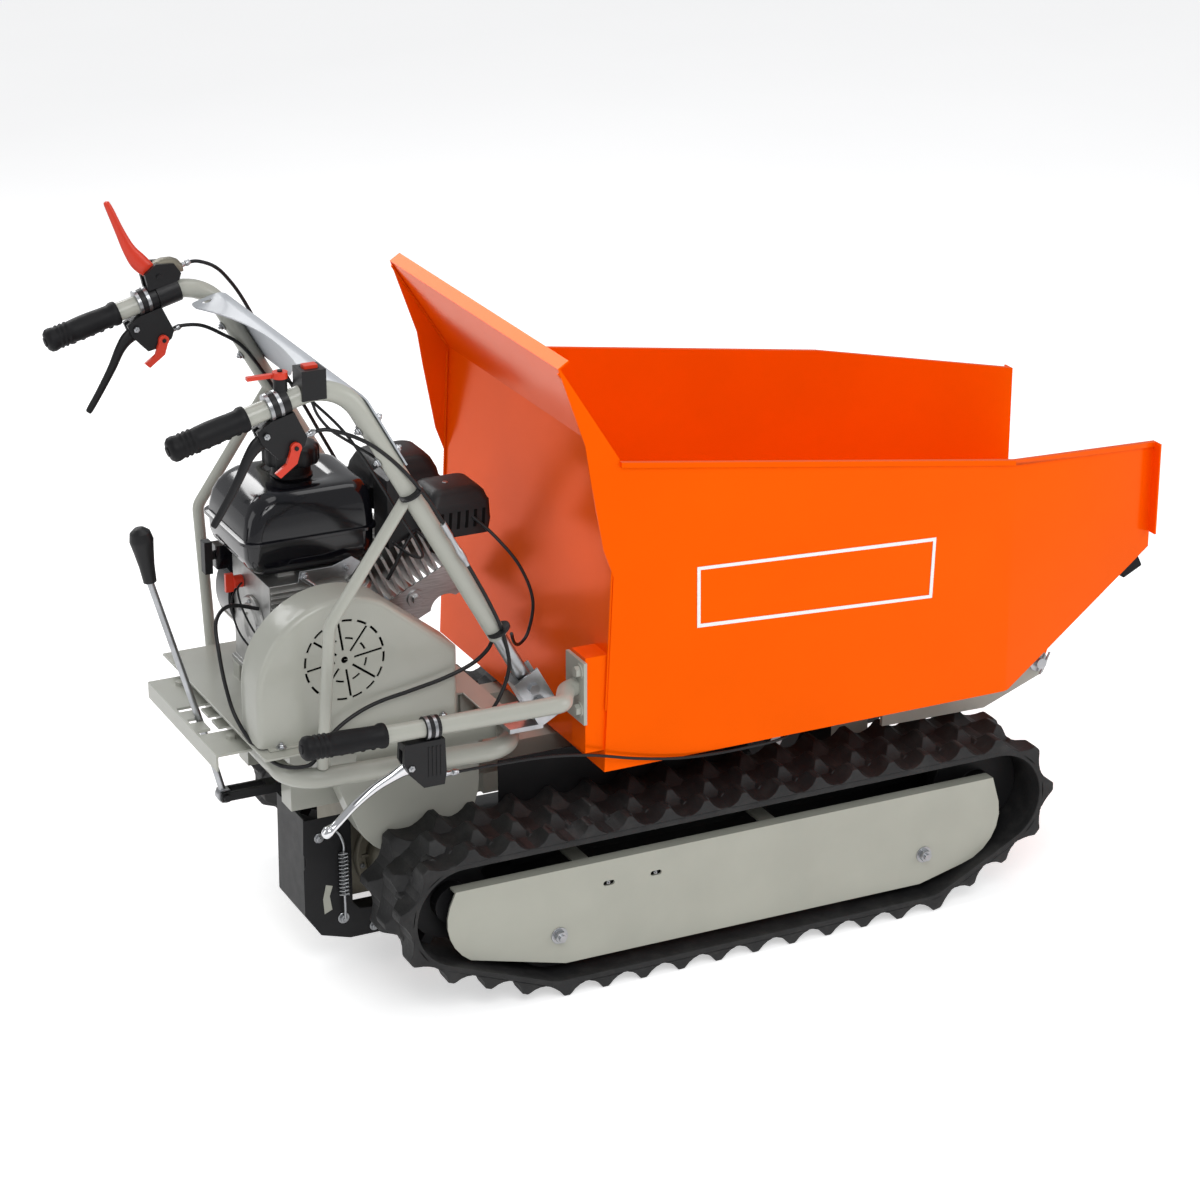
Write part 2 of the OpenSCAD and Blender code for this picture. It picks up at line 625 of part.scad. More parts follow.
// Outline round two circles of different size
function belt_pts(c1, r1, c2, r2) = let (
    a = atan2((c2 - c1)[1], (c2 - c1)[0]), w = acos((r1 - r2) / norm(c2 - c1)))
    concat(arc_pts(c1, r1, a + w, a + 360 - w, 18), arc_pts(c2, r2, a - w, a + w, 22));
module drive_belt() color(black) slab(belt_y[0] + 1, belt_y[1] - 1) difference() {
    polygon(belt_pts(crank, drive_r + 1, driven_c, driven_r + 1));
    polygon(belt_pts(crank, drive_r - 8, driven_c, driven_r - 8));
}
tension_pivot = [-246, 470];
module tension_arm() color(zinc) difference() {
    union() {
        y_pin(tension_pivot, -152, -146, 14);
        slab(-152, -146) polygon([[-256, 472], [-238, 478], [-280, 562], [-294, 550]]);
        y_pin([-288, 556], -178, -146, 20);
    }
    y_pin(tension_pivot, -160, -140, 6.05);
}
cover_c = [-432, 572];
cover_rad = 152;
cover_y = [-215, -212];
module cover_outline(d = 0) polygon(concat([[cover_c[0] - cover_rad + d, deck_z + 3]],
    arc_pts(cover_c, cover_rad - d, 180, 62, 14), [[-232 - d, 604 - d]], [[-232 - d, deck_z + 3]]));
vent_c = [crank_x - 12, crank_z];
module belt_cover() color(grey) {
    difference() {
        slab(cover_y[0], -138) cover_outline();
        slab(cover_y[1], -130) cover_outline(3);
        y_pin(vent_c, -220, -210, 6);
        for (k = [0:7]) translate([vent_c[0], -213, vent_c[1]]) rotate([0, k * 45 + 8, 0])
            translate([14, -6, -1.5]) cube([52, 12, 3]);
    }
    box([-570, -226, deck_z], [-240, -212, deck_z + 3]);
}
low_c = [-300, 345];
low_r = 116;
module lower_outline(d = 0) polygon(concat([[-452 + d, 446], [-446 + d, 398]],
    arc_pts(low_c, low_r - d, 205, 360, 14), [[low_c[0] + low_r - d, 446]]));
module belt_housing() color(grey) difference() {
    union() {
        slab(-186, -138) lower_outline();
        slab(-138, -134) union() {
            lower_outline();
            polygon([[-500, 440], [-500, deck_z + 4], [-200, deck_z + 4], [-200, 440]]);
            cover_outline(4);
        }
        y_pin(tension_pivot, -158, -134, 6);
    }
    slab(-183, -138) lower_outline(3);
    slab(-183, -138) translate([0, 10]) lower_outline(3);
    y_pin(crank, -140, -130, 64);
    y_pin(driven_c, -140, -130, 48);
}

// ---- tub ----
wall_out = tub_w / 2 - 6;
front_out = tub_front_w / 2;
rear_base_x = -26;
draw_in = atan2(wall_out - front_out, tub_len - tub_bend_x);
rim_slope = (rim_front_z - rim_rear_z) / tub_len;
function rim_z(x) = rim_rear_z + rim_slope * x;
// Plan of the tub inset by d
module tub_plan(d) polygon([[-40, -wall_out + d], [tub_bend_x - d * tan(draw_in / 2), -wall_out + d],
    [tub_len + d * 30, -front_out + d / cos(draw_in) + d * 30 * tan(draw_in)],
    [tub_len + d * 30, front_out - d / cos(draw_in) - d * 30 * tan(draw_in)],
    [tub_bend_x - d * tan(draw_in / 2), wall_out - d], [-40, wall_out - d]]);
lip_rise = (lip_z - floor_z) / (tub_len - tub_bend_x - 10);
module tub_side(d) polygon([[rear_base_x + d, floor_z + d], [tub_bend_x + 10 - d * 0.4, floor_z + d],
    [tub_len + d * 30, lip_z + d * 1.12 + d * 30 * lip_rise], [tub_len + d * 30, rim_z(tub_len) + d * 100],
    [d * 1.1, rim_rear_z + d * 100], [d * 1.1, rim_rear_z]]);
module tub_body(d) intersection() {
    translate([0, 0, floor_z]) linear_extrude(height = 900) tub_plan(d);
    slab(-tub_w, tub_w) tub_side(d);
}
// Upright panel standing on the plan line from a to b, with its outer face on that line
module rim_bar(a, b, w, h) {
    along_rim = unit(b - a);
    place(a, along_rim, [0, 1, 0], cross(along_rim, [0, 1, 0]))
        translate([0, -w, -h]) cube([norm(b - a), w, h]);
}
shield_x = -108;
shield_dir = unit([shield_x, 0, shield_z - 3 - rim_rear_z]);
module splash_shield() {
    n = [shield_dir[2], 0, -shield_dir[0]];
    h = (shield_z - 3 - rim_rear_z) / shield_dir[2];
    place([0, 0, rim_rear_z], [0, 1, 0], n, -shield_dir)
        translate([-wall_out, -0.01, -h]) cube([2 * wall_out, sheet, h + 1]);
    place([0, 0, rim_rear_z] + shield_dir * h, [0, 1, 0], n, -shield_dir)
        translate([-wall_out, 0, -0.01]) cube([2 * wall_out, 22, sheet]);
    both_sides() slab(-wall_out - 0.01, -wall_out + sheet) polygon([[shield_x, shield_z - 3],
        [-60, 968], [-50, 905], [-28, 785], [-9.5, 735], [2, 735], [2, rim_rear_z]]);
}
lug_y = [-248, -238];
hook_pivot = [128, 376];
module tub() color(orange) difference() {
    union() {
        difference() {
            tub_body(0);
            tub_body(sheet);
        }
        splash_shield();
        // rolled rim along the straight part of each side
        both_sides() {
            slab(-wall_out - 6, -wall_out + 0.01) polygon([[2, rim_rear_z], [tub_bend_x, rim_z(tub_bend_x)],
                [tub_bend_x, rim_z(tub_bend_x) - 9], [2, rim_rear_z - 9]]);
            intersection() {
                slab(-tub_w, tub_w) polygon([[tub_bend_x - 2, rim_z(tub_bend_x - 2)],
                    [tub_len, rim_z(tub_len)], [tub_len, rim_z(tub_len) - 9],
                    [tub_bend_x - 2, rim_z(tub_bend_x - 2) - 9]]);
                translate([0, 0, 700]) linear_extrude(height = 200) polygon([
                    [tub_bend_x - 2, -wall_out - 5.8], [tub_len, -front_out - 6],
                    [tub_len, -front_out + 0.5], [tub_bend_x - 2, -wall_out + 0.5]]);
            }
            // folded edge at the pouring end
            box([tub_len - 3, -front_out - 22, 596], [tub_len, -front_out + 1, rim_z(tub_len)]);
            // hinge lugs below the sloping front
            slab(lug_y[0], lug_y[1])
                polygon(concat([[930, 474.5]], arc_pts(pivot, 20, -30, -200, 6), [[842, 430.8]]));
        }
        // box mount for the dumping handle
        box([-58, -338, 428], [-12, -286, 598]);
        // ears for the latch
        for (y = [-24, 16]) box([108, y, 364], [148, y + 8, floor_z + 1]);
        y_pin(hook_pivot, -26, 26, 5);
    }
    both_sides() y_pin(pivot, -260, -230, pin_r + run_fit);
    box([-54, -334, 420], [-30, -290, 594]);
}
module tub_bumpers() color(black) both_sides() {
    translate([1092, -front_out + 14, lip_z - 18]) rotate([0, -atan(lip_rise), 0])
        translate([-30, 0, -34]) cube([44, 40, 34]);
}
module tub_latch() color(zinc) difference() {
    slab(-12, 12) polygon([[140, 384], [118, 386], [104, 376], [101, 366], [101, 340], [106, 332], [114, 340],
        [120, 362], [138, 366]]);
    y_pin(hook_pivot, -20, 20, 5.05);
}
handle_y = -380;
handle_z = 545;
handle_end_x = -566;
handle_r = 15;
module dump_handle() color(grey) {
    box([-64, -345, 482], [-58.1, -276, 592]);
    for (z = [506, 574]) translate([-63.5, -330, z]) rotate([0, -90, 0]) {
        cylinder(h = 3, r = 13);
        cylinder(h = 11, r = 10, $fn = 6);
    }
    bent_tube([[-64.6, -313, handle_z - 4], [-86, -323, handle_z - 4], [-118, handle_y, handle_z],
        [handle_end_x, handle_y, handle_z + 8]], 24, handle_r);
}
module handle_axis_rod(x0, x1, r) {
    slope = 8 / (handle_end_x + 118);
    rod([x0, handle_y, handle_z + (x0 + 118) * slope], [x1, handle_y, handle_z + (x1 + 118) * slope], r);
}
module dump_grip() color(black) difference() {
    union() {
        handle_axis_rod(handle_end_x - 6, -432, 19);
        handle_axis_rod(-438, -432, 21);
    }
    handle_axis_rod(handle_end_x - 0.05, -430, handle_r + 0.02);
}
dump_pivot = [-393, 490];
module dump_perch_body() difference() {
    union() {
        slab(handle_y - 15, handle_y + 15) polygon([[-404, 532], [-406, 500], [-396, 478],
            [-372, 452], [-336, 452], [-332, 474], [-334, 532]]);
        handle_axis_rod(-366, -340, 19);
    }
    slab(handle_y - 7, handle_y + 7) polygon([[-420, 524], [-420, 440], [-366, 440], [-352, 462],
        [-368, 506], [-394, 516]]);
    handle_axis_rod(-410, -330, handle_r + 0.02);
}
module dump_perch() color(black) {
    dump_perch_body();
    y_pin(dump_pivot, handle_y - 17, handle_y + 17, 4);
}
module dump_lever() color(zinc) difference() {
    union() {
        y_pin(dump_pivot, handle_y - 6.5, handle_y + 6.5, 12);
        slab(handle_y - 6, handle_y + 6) polygon([[-386, 500], [-372, 474], [-362, 470], [-372, 460],
            [-400, 470], [-440, 462], [-484, 436], [-522, 402], [-532, 402], [-530, 412], [-500, 446],
            [-452, 476], [-404, 486]]);
        y_pin([-532, 403], handle_y - 8, handle_y + 8, 10);
    }
    y_pin(dump_pivot, handle_y - 8, handle_y + 8, 4.05);
}
cable_r = 3.5;
module control_cables() color(black) {
    both_sides() bent_tube([[-520, -by, 1040], [-476, -338, 1046], [-318, -338, 800],
        [-206, -338, 590], [-200, -322, 500]], 26, cable_r);
    bent_tube([[-500, by, 1156], [-450, by + 6, 1168], [-340, 336, 960], [-190, 336, 650],
        [-186, 322, 500]], 26, cable_r);
}

// From the drawing datum to the middle of the footprint
middle = [-184.82, 15.49, 0];
translate(middle) main_frame();
translate(middle) guard_tube();
translate(middle) engine_deck();
translate(middle) gate_plate();
translate(middle) handlebars();
translate(middle) bar_sockets();
translate(middle) console_plate();
translate(middle) hand_grips();
translate(middle) lever_perches();
translate(middle) switch_housing();
translate(middle) control_cables();
translate(middle) track_beams();
translate(middle) track_skirts();
translate(middle) wheel_axles();
translate(middle) tracks();
translate(middle) sprocket_right();
translate(middle) sprocket_left();
translate(middle) idler_right();
translate(middle) idler_left();
translate(middle) rear_roller_right();
translate(middle) rear_roller_left();
translate(middle) front_roller_right();
translate(middle) front_roller_left();
translate(middle) gearbox();
translate(middle) rear_guard();
translate(middle) shift_bracket();
translate(middle) shift_lever();
translate(middle) shift_knob();
translate(middle) crankcase();
translate(middle) cylinder_block();
translate(middle) head_baffle();
translate(middle) engine_shroud();
translate(middle) fuel_tank();
translate(middle) fuel_cap();
translate(middle) air_cleaner();
translate(middle) muffler();
translate(middle) recoil_housing();
translate(middle) recoil_handle();
translate(middle) engine_switch();
translate(middle) crankshaft();
translate(middle) driven_pulley();
translate(middle) drive_belt();
translate(middle) belt_housing();
translate(middle) belt_cover();
translate(middle) tension_arm();
translate(middle) steering_lever_right();
translate(middle) steering_lever_left();
translate(middle) lock_catch_right();
translate(middle) lock_catch_left();
translate(middle) clutch_lever();
translate(middle) throttle_lever();
translate(middle) stop_rocker();
translate(middle) hinge_pin();
translate(middle) tub();
translate(middle) tub_bumpers();
translate(middle) tub_latch();
translate(middle) dump_handle();
translate(middle) dump_grip();
translate(middle) dump_perch();
translate(middle) dump_lever();
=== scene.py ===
import json
import math
from math import acos, atan2, cos, degrees, pi, radians, sin

import bmesh
import bpy
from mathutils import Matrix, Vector


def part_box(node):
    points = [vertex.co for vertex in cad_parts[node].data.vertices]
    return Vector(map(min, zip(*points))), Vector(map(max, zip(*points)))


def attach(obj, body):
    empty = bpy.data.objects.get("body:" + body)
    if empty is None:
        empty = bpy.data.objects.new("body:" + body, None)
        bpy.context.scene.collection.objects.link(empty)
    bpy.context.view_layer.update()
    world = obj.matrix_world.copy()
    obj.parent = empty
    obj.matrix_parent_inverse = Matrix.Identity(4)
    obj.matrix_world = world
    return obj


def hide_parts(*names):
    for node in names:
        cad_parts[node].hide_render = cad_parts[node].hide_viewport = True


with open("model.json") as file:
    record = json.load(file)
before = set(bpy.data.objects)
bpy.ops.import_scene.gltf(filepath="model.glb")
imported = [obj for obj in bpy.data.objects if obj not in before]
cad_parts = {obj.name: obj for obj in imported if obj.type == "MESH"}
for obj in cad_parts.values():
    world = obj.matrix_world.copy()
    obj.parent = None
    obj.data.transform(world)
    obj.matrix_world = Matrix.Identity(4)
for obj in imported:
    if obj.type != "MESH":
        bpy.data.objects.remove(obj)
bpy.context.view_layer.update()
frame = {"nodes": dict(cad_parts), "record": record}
MM = 0.001
CAP_AT = (-411, 58)
cap_lo, cap_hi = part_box("fuel_cap")
DATUM = Vector([round((cap_lo[i] + cap_hi[i]) / 2 / MM - CAP_AT[i], 2) for i in (0, 1)] + [0])
SLOTS = {s["node"]: s["material_slot"] for s in frame["record"]["subparts"]}
BODY = {n: b for b, ns in frame["record"]["behaviour"]["bodies"].items() for n in ns}
X, Y, Z = Vector((1, 0, 0)), Vector((0, 1, 0)), Vector((0, 0, 1))
SIDES = ((-1, "right"), (1, "left"))
BAR_Y = 308
STARTER_AT = Vector((-420, 195.5, 618))
GEARBOX_AT = Vector((-290, -77, 190))


# ---- materials: all procedural ----
COAT_ROUGHNESS = 0.08
BUMP_DEPTH = 0.0008
BRUSHED_STRETCH = (4, 60, 60)


def noise_node(tree, place, scale, detail=4.0):
    n = tree.nodes.new("ShaderNodeTexNoise")
    n.inputs["Scale"].default_value = scale
    n.inputs["Detail"].default_value = detail
    tree.links.new(place, n.inputs["Vector"])
    return n


def mottled(tree, place, color, mottle, scale):
    """The colour, wandering by the share mottle in soft patches."""
    ramp = tree.nodes.new("ShaderNodeValToRGB")
    dark, light = ramp.color_ramp.elements
    dark.position, light.position = 0.35, 0.65
    dark.color = (*(c * (1 - mottle) for c in color), 1)
    light.color = (*(min(1.0, c * (1 + mottle)) for c in color), 1)
    tree.links.new(noise_node(tree, place, scale).outputs["Fac"], ramp.inputs["Fac"])
    return ramp.outputs["Color"]


def dusted(tree, place, base, dust_color, amount):
    """Patches of dust_color over the base colour, at most the share amount."""
    where = tree.nodes.new("ShaderNodeMapRange")
    where.inputs["From Min"].default_value = 0.5
    where.inputs["From Max"].default_value = 0.8
    where.inputs["To Max"].default_value = amount
    mix = tree.nodes.new("ShaderNodeMix")
    mix.data_type = "RGBA"
    mix.inputs["B"].default_value = (*dust_color, 1)
    tree.links.new(noise_node(tree, place, 38.0, 6.0).outputs["Fac"], where.inputs["Value"])
    tree.links.new(where.outputs["Result"], mix.inputs["Factor"])
    tree.links.new(base, mix.inputs["A"])
    return mix.outputs["Result"]


def material(name, color, rough, metal=0.0, coat=0.0, mottle=0.06, mottle_scale=9.0, bump=0.0,
             bump_scale=600.0, wear=None, brushed=False, spec=0.4, tint=(1, 1, 1)):
    m = bpy.data.materials.new(name)
    m.use_nodes = True
    nt = m.node_tree
    p = nt.nodes["Principled BSDF"]
    p.inputs["Metallic"].default_value = metal
    p.inputs["Coat Weight"].default_value = coat
    p.inputs["Specular IOR Level"].default_value = spec
    p.inputs["Specular Tint"].default_value = (*tint, 1)
    p.inputs["Coat Roughness"].default_value = COAT_ROUGHNESS
    place = nt.nodes.new("ShaderNodeTexCoord").outputs["Object"]
    if brushed:
        stretch = nt.nodes.new("ShaderNodeMapping")
        stretch.inputs["Scale"].default_value = BRUSHED_STRETCH
        nt.links.new(place, stretch.inputs["Vector"])
        place = stretch.outputs["Vector"]
    out = mottled(nt, place, color, mottle, mottle_scale)
    if wear:
        out = dusted(nt, place, out, *wear)
    nt.links.new(out, p.inputs["Base Color"])
    shine = nt.nodes.new("ShaderNodeMapRange")
    shine.inputs["To Min"].default_value = max(0.02, rough * 0.85)
    shine.inputs["To Max"].default_value = min(1.0, rough * 1.18)
    nt.links.new(noise_node(nt, place, mottle_scale * 5).outputs["Fac"], shine.inputs["Value"])
    nt.links.new(shine.outputs["Result"], p.inputs["Roughness"])
    if bump:
        b = nt.nodes.new("ShaderNodeBump")
        b.inputs["Strength"].default_value = bump
        b.inputs["Distance"].default_value = BUMP_DEPTH
        nt.links.new(noise_node(nt, place, bump_scale, 3.0).outputs["Fac"], b.inputs["Height"])
        nt.links.new(b.outputs["Normal"], p.inputs["Normal"])
    return m


MAT = {
    "frame_grey": material("frame_grey", (0.385, 0.39, 0.345), 0.30, coat=0.25, mottle=0.03, bump=0.05),
    "skirt_grey": material("skirt_grey", (0.385, 0.39, 0.335), 0.38, coat=0.15, mottle=0.04, bump=0.07),
    "console_grey": material("console_grey", (0.42, 0.44, 0.47), 0.40, coat=0.1, mottle=0.03, bump=0.05),
    "tub_orange": material("tub_orange", (0.93, 0.106, 0.0004), 0.18, metal=0.22, mottle=0.03,
                           mottle_scale=5, bump=0.03, bump_scale=260, spec=0.14, tint=(1.0, 0.42, 0.06)),
    "black_metal": material("black_metal", (0.009, 0.009, 0.010), 0.45, mottle=0.2, bump=0.12, spec=0.3),
    "engine_black": material("engine_black", (0.004, 0.004, 0.006), 0.14, coat=0.4, mottle=0.1, bump=0.02,
                             spec=0.35),
    "zinc": material("zinc", (0.42, 0.43, 0.445), 0.32, metal=1.0, mottle=0.16, mottle_scale=30, bump=0.10),
    "chrome": material("chrome", (0.80, 0.81, 0.83), 0.06, metal=1.0, mottle=0.02),
    "alloy": material("alloy", (0.40, 0.40, 0.39), 0.42, metal=0.95, mottle=0.14, mottle_scale=20,
                      bump=0.4, bump_scale=420),
    "brushed": material("brushed", (0.48, 0.48, 0.48), 0.32, metal=1.0, mottle=0.16, bump=0.12,
                        bump_scale=30, brushed=True),
    "track_rubber": material("track_rubber", (0.010, 0.010, 0.0105), 0.58, mottle=0.3, mottle_scale=24,
                             bump=0.5, bump_scale=240, wear=((0.045, 0.043, 0.040), 0.40), spec=0.42),
    "grip_rubber": material("grip_rubber", (0.006, 0.006, 0.007), 0.52, mottle=0.15, bump=0.2, spec=0.2),
    "black_plastic": material("black_plastic", (0.009, 0.009, 0.010), 0.40, mottle=0.15, bump=0.16, spec=0.3),
    "red_plastic": material("red_plastic", (0.62, 0.036, 0.012), 0.34, coat=0.12, mottle=0.05, bump=0.06),
    "cast_olive": material("cast_olive", (0.20, 0.185, 0.145), 0.45, metal=0.6, mottle=0.16, bump=0.4,
                           bump_scale=300),
    "white_paint": material("white_paint", (0.86, 0.86, 0.85), 0.4, mottle=0.01),
    # painted shade: near-black matte for sheets and marks that stand in for the shade in slots, vents and
    # gaps
    "void_black": material("void_black", (0.003, 0.003, 0.003), 0.9, mottle=0.05, spec=0.1),
    "wire_yellow": material("wire_yellow", (0.6, 0.32, 0.05), 0.4, mottle=0.05),
}


# ---- mesh helpers ----
def dress(ob, mat, body, nodes=(), slot=None, smooth=35, bevel=0.0, seg=2):
    """Gives a piece its material, shading, rounded edges and body, and hides the CAD nodes that it replaces.
    """
    ob.data.materials.clear()
    ob.data.materials.append(MAT[mat])
    for p in ob.data.polygons:
        p.use_smooth = True
    ob.data.set_sharp_from_angle(angle=radians(smooth))
    if bevel:
        b = ob.modifiers.new("edges", "BEVEL")
        b.width = bevel * MM
        b.segments = seg
        b.limit_method = "ANGLE"
        b.angle_limit = radians(smooth)
        b.harden_normals = True
        b.use_clamp_overlap = True
    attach(ob, body)
    if nodes:
        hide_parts(*nodes)
    if not slot:
        of_node = SLOTS[nodes[0]] if nodes else "black_plastic"
        slot = mat if mat in SLOTS.values() else of_node
    return ob


def mesh(name, verts, faces, mat, body, **kw):
    me = bpy.data.meshes.new(name)
    me.from_pydata([(Vector(v) + DATUM) * MM for v in verts], [], [tuple(f) for f in faces])
    bm = bmesh.new()
    bm.from_mesh(me)
    bmesh.ops.remove_doubles(bm, verts=bm.verts, dist=2e-6)
    bmesh.ops.recalc_face_normals(bm, faces=bm.faces)
    bm.to_mesh(me)
    bm.free()
    ob = bpy.data.objects.new(name, me)
    bpy.context.scene.collection.objects.link(ob)
    return dress(ob, mat, body, **kw)


def soften(node, width=1.0, seg=2, mat=None, smooth=32):
    """A CAD node's own shape as a new piece, with its edges rounded."""
    bm = bmesh.new()
    bm.from_mesh(frame["nodes"][node].data)
    bmesh.ops.remove_doubles(bm, verts=bm.verts, dist=1e-5)
    bmesh.ops.dissolve_limit(bm, angle_limit=radians(0.5), verts=bm.verts, edges=bm.edges)
    me = bpy.data.meshes.new(node + "_finish")
    bm.to_mesh(me)
    bm.free()
    for name in [a.name for a in me.attributes if "custom_normal" in a.name]:
        me.attributes.remove(me.attributes[name])
    ob = bpy.data.objects.new(node + "_finish", me)
    bpy.context.scene.collection.objects.link(ob)
    return dress(ob, mat or SLOTS[node], BODY[node], nodes=(node,), slot=SLOTS[node], bevel=width,
                 seg=seg, smooth=smooth)


def catmull_rom(p, q, r, s, t):
    square = (2 * p - 5 * q + 4 * r - s) * t * t
    cube = (3 * q - p - 3 * r + s) * t ** 3
    return 0.5 * (2 * q + (r - p) * t + square + cube)


def spline(pts, n):
    """Catmull-Rom points through pts, with n steps to each span. Works on tuples of any length."""
    out = []
    for i in range(len(pts) - 1):
        four = pts[max(i - 1, 0)], pts[i], pts[i + 1], pts[min(i + 2, len(pts) - 1)]
        for k in range(n):
            out.append(tuple(catmull_rom(*values, k / n) for values in zip(*four)))
    return out + [tuple(pts[-1])]


def tube_faces(rings, sides):
    """Quads between rings of points, with a cap on each end."""
    faces = []
    for i in range(rings - 1):
        for k in range(sides):
            q, r = i * sides + k, i * sides + (k + 1) % sides
            faces.append((q, r, r + sides, q + sides))
    return faces + [tuple(range(sides))[::-1], tuple(range((rings - 1) * sides, rings * sides))]


def sweep(name, pts, mat, body, n=8, sides=14, side=(0, 1, 0), **kw):
    """Elliptical bar through pts, each (x, y, z, half width along side, half height square to it)."""
    path = spline([p if len(p) == 5 else (*p, p[3]) for p in pts], n)
    verts = []
    for i, p in enumerate(path):
        a, b = path[max(i - 1, 0)], path[min(i + 1, len(path) - 1)]
        t = (Vector(b[:3]) - Vector(a[:3])).normalized()
        u = Vector(side)
        u = (u - t * u.dot(t))
        u = u.normalized() if u.length > 1e-3 else t.orthogonal().normalized()
        v = t.cross(u)
        for k in range(sides):
            w = 2 * pi * k / sides
            verts.append(Vector(p[:3]) + u * cos(w) * p[3] + v * sin(w) * p[4])
    return mesh(name, verts, tube_faces(len(path), sides), mat, body, smooth=kw.pop("smooth", 50), **kw)


def cable(name, pts, r=3.2, mat="black_plastic", body="chassis", **kw):
    return sweep(name, [(*p, r) for p in pts], mat, body, n=10, sides=12, slot="black_plastic", **kw)


def lathe(name, profile, origin, axis, mat, body, sides=48, ripple=None, **kw):
    """Turned piece: profile of (radius, height along axis); ripple(angle, r, h) may change the radius."""
    z = Vector(axis).normalized()
    x = z.orthogonal().normalized()
    y = z.cross(x)
    verts = []
    for r, h in profile:
        for k in range(sides):
            w = 2 * pi * k / sides
            q = ripple(w, r, h) if ripple else r
            verts.append(Vector(origin) + x * cos(w) * q + y * sin(w) * q + z * h)
    return mesh(name, verts, tube_faces(len(profile), sides), mat, body, **kw)


def bolt(name, at, axis, r, body="chassis", washer=True, h=None):
    """Hexagon head with a chamfered top on a washer, and a thread end."""
    z = Vector(axis).normalized()
    h = h or r * 0.75
    head = [(r * 0.96, 0.0), (r, 0.6), (r, h - 1.2), (r * 0.82, h)]
    thread = [(r * 0.42, h - 0.5), (r * 0.42, h + 2.0), (r * 0.34, h + 2.8)]
    disc = [(r * 1.42, 0), (r * 1.46, 0.4), (r * 1.46, 1.3), (r * 1.38, 1.7)]
    o = Vector(at) + z * (1.6 if washer else 0)
    lathe(name, head, o, z, "zinc", body, sides=6, slot="zinc", bevel=0.4, smooth=25)
    lathe(name + "_end", thread, o, z, "zinc", body, sides=20, slot="zinc")
    if washer:
        lathe(name + "_washer", disc, at, z, "zinc", body, sides=32, slot="zinc")


def bolt_ring(name, centre, across, axis, count, radius, start, size):
    """Bolts on a circle that across and Z span, the first of them start degrees round it."""
    for k in range(count):
        a = radians(start + k * 360 / count)
        at = Vector(centre) + (across * cos(a) + Z * sin(a)) * radius
        bolt("%s_%d" % (name, k), at, axis, size, washer=False)


def rounded_rect(x0, x1, y0, y1, r, n=7):
    pts = []
    corners = ((x1 - r, y1 - r, 0), (x0 + r, y1 - r, 90), (x0 + r, y0 + r, 180), (x1 - r, y0 + r, 270))
    for cx, cy, a in corners:
        for k in range(n + 1):
            w = radians(a + 90 * k / n)
            pts.append((cx + r * cos(w), cy + r * sin(w)))
    return pts


def stack(name, layers, mat, body, **kw):
    """Shell lofted through rounded rectangles (z, x0, x1, y0, y1, r)."""
    verts = []
    for z, x0, x1, y0, y1, r in layers:
        verts += [(x, y, z) for x, y in rounded_rect(x0, x1, y0, y1, r)]
    faces = tube_faces(len(layers), len(verts) // len(layers))
    return mesh(name, verts, faces, mat, body, smooth=kw.pop("smooth", 28), **kw)


def slab(name, outline, y0, y1, mat, body, **kw):
    """An (x, z) outline extruded along Y."""
    n = len(outline)
    verts = [(x, y0, z) for x, z in outline] + [(x, y1, z) for x, z in outline]
    faces = [tuple(range(n)), tuple(range(n, 2 * n))[::-1]]
    faces += [(k, (k + 1) % n, n + (k + 1) % n, n + k) for k in range(n)]
    return mesh(name, verts, faces, mat, body, **kw)


def radial_rib(name, centre, degrees_round, r0, r1, half, y0, y1, mat, **kw):
    """A straight rib from radius r0 to r1 on a turned casting whose axis runs along Y."""
    a = radians(degrees_round)
    out, across = Vector((cos(a), 0, sin(a))), Vector((-sin(a), 0, cos(a))) * half
    c = Vector((centre[0], 0, centre[2]))
    q = [c + out * r0 - across, c + out * r1 - across, c + out * r1 + across, c + out * r0 + across]
    slab(name, [(v.x, v.z) for v in q], y0, y1, mat, "chassis", **kw)


def pierce(piece, cutter):
    """Cuts the cutter's shape out of a piece and applies the piece's modifiers."""
    boolean = piece.modifiers.new("holes", "BOOLEAN")
    boolean.object = cutter
    boolean.solver = "EXACT"
    bpy.context.view_layer.objects.active = piece
    bpy.ops.object.select_all(action="DESELECT")
    piece.select_set(True)
    for mod in [m.name for m in piece.modifiers]:
        bpy.ops.object.modifier_apply(modifier=mod)
    bpy.data.objects.remove(cutter)
    piece.data.set_sharp_from_angle(angle=radians(40))


# ---- rubber tracks with staggered lugs ----
# The wheels' centres (x, z) and radii, in the order in which the band runs round them
WHEELS = [((-112, 107), 75), ((600, 107), 75), ((735, 190), 88), ((-290, 190), 88)]
BAND, LINKS, STEPS_PER_LINK = 12, 37, 8


def gap(i):
    """The step from wheel i to the next one, and how much smaller the next one is."""
    (a, ra), (b, rb) = WHEELS[i], WHEELS[(i + 1) % 4]
    return (b[0] - a[0], b[1] - a[1]), ra - rb


def leave(i):
    """Degrees round wheel i at which the band leaves it."""
    step, smaller = gap(i)
    a = degrees(atan2(step[1], step[0]) - acos(smaller / math.hypot(*step)))
    return a + 360 if a < -91 else a


def enter(i):
    """Degrees round wheel i at which the band meets it."""
    return leave(3) - 360 if i == 0 else leave(i - 1)


WRAP = [(WHEELS[i][1] + BAND / 2) * radians(leave(i) - enter(i)) for i in range(4)]
RUN = [math.sqrt(math.hypot(*gap(i)[0]) ** 2 - gap(i)[1] ** 2) for i in range(4)]
TRACK_LEN = sum(WRAP) + sum(RUN)
PITCH = TRACK_LEN / LINKS


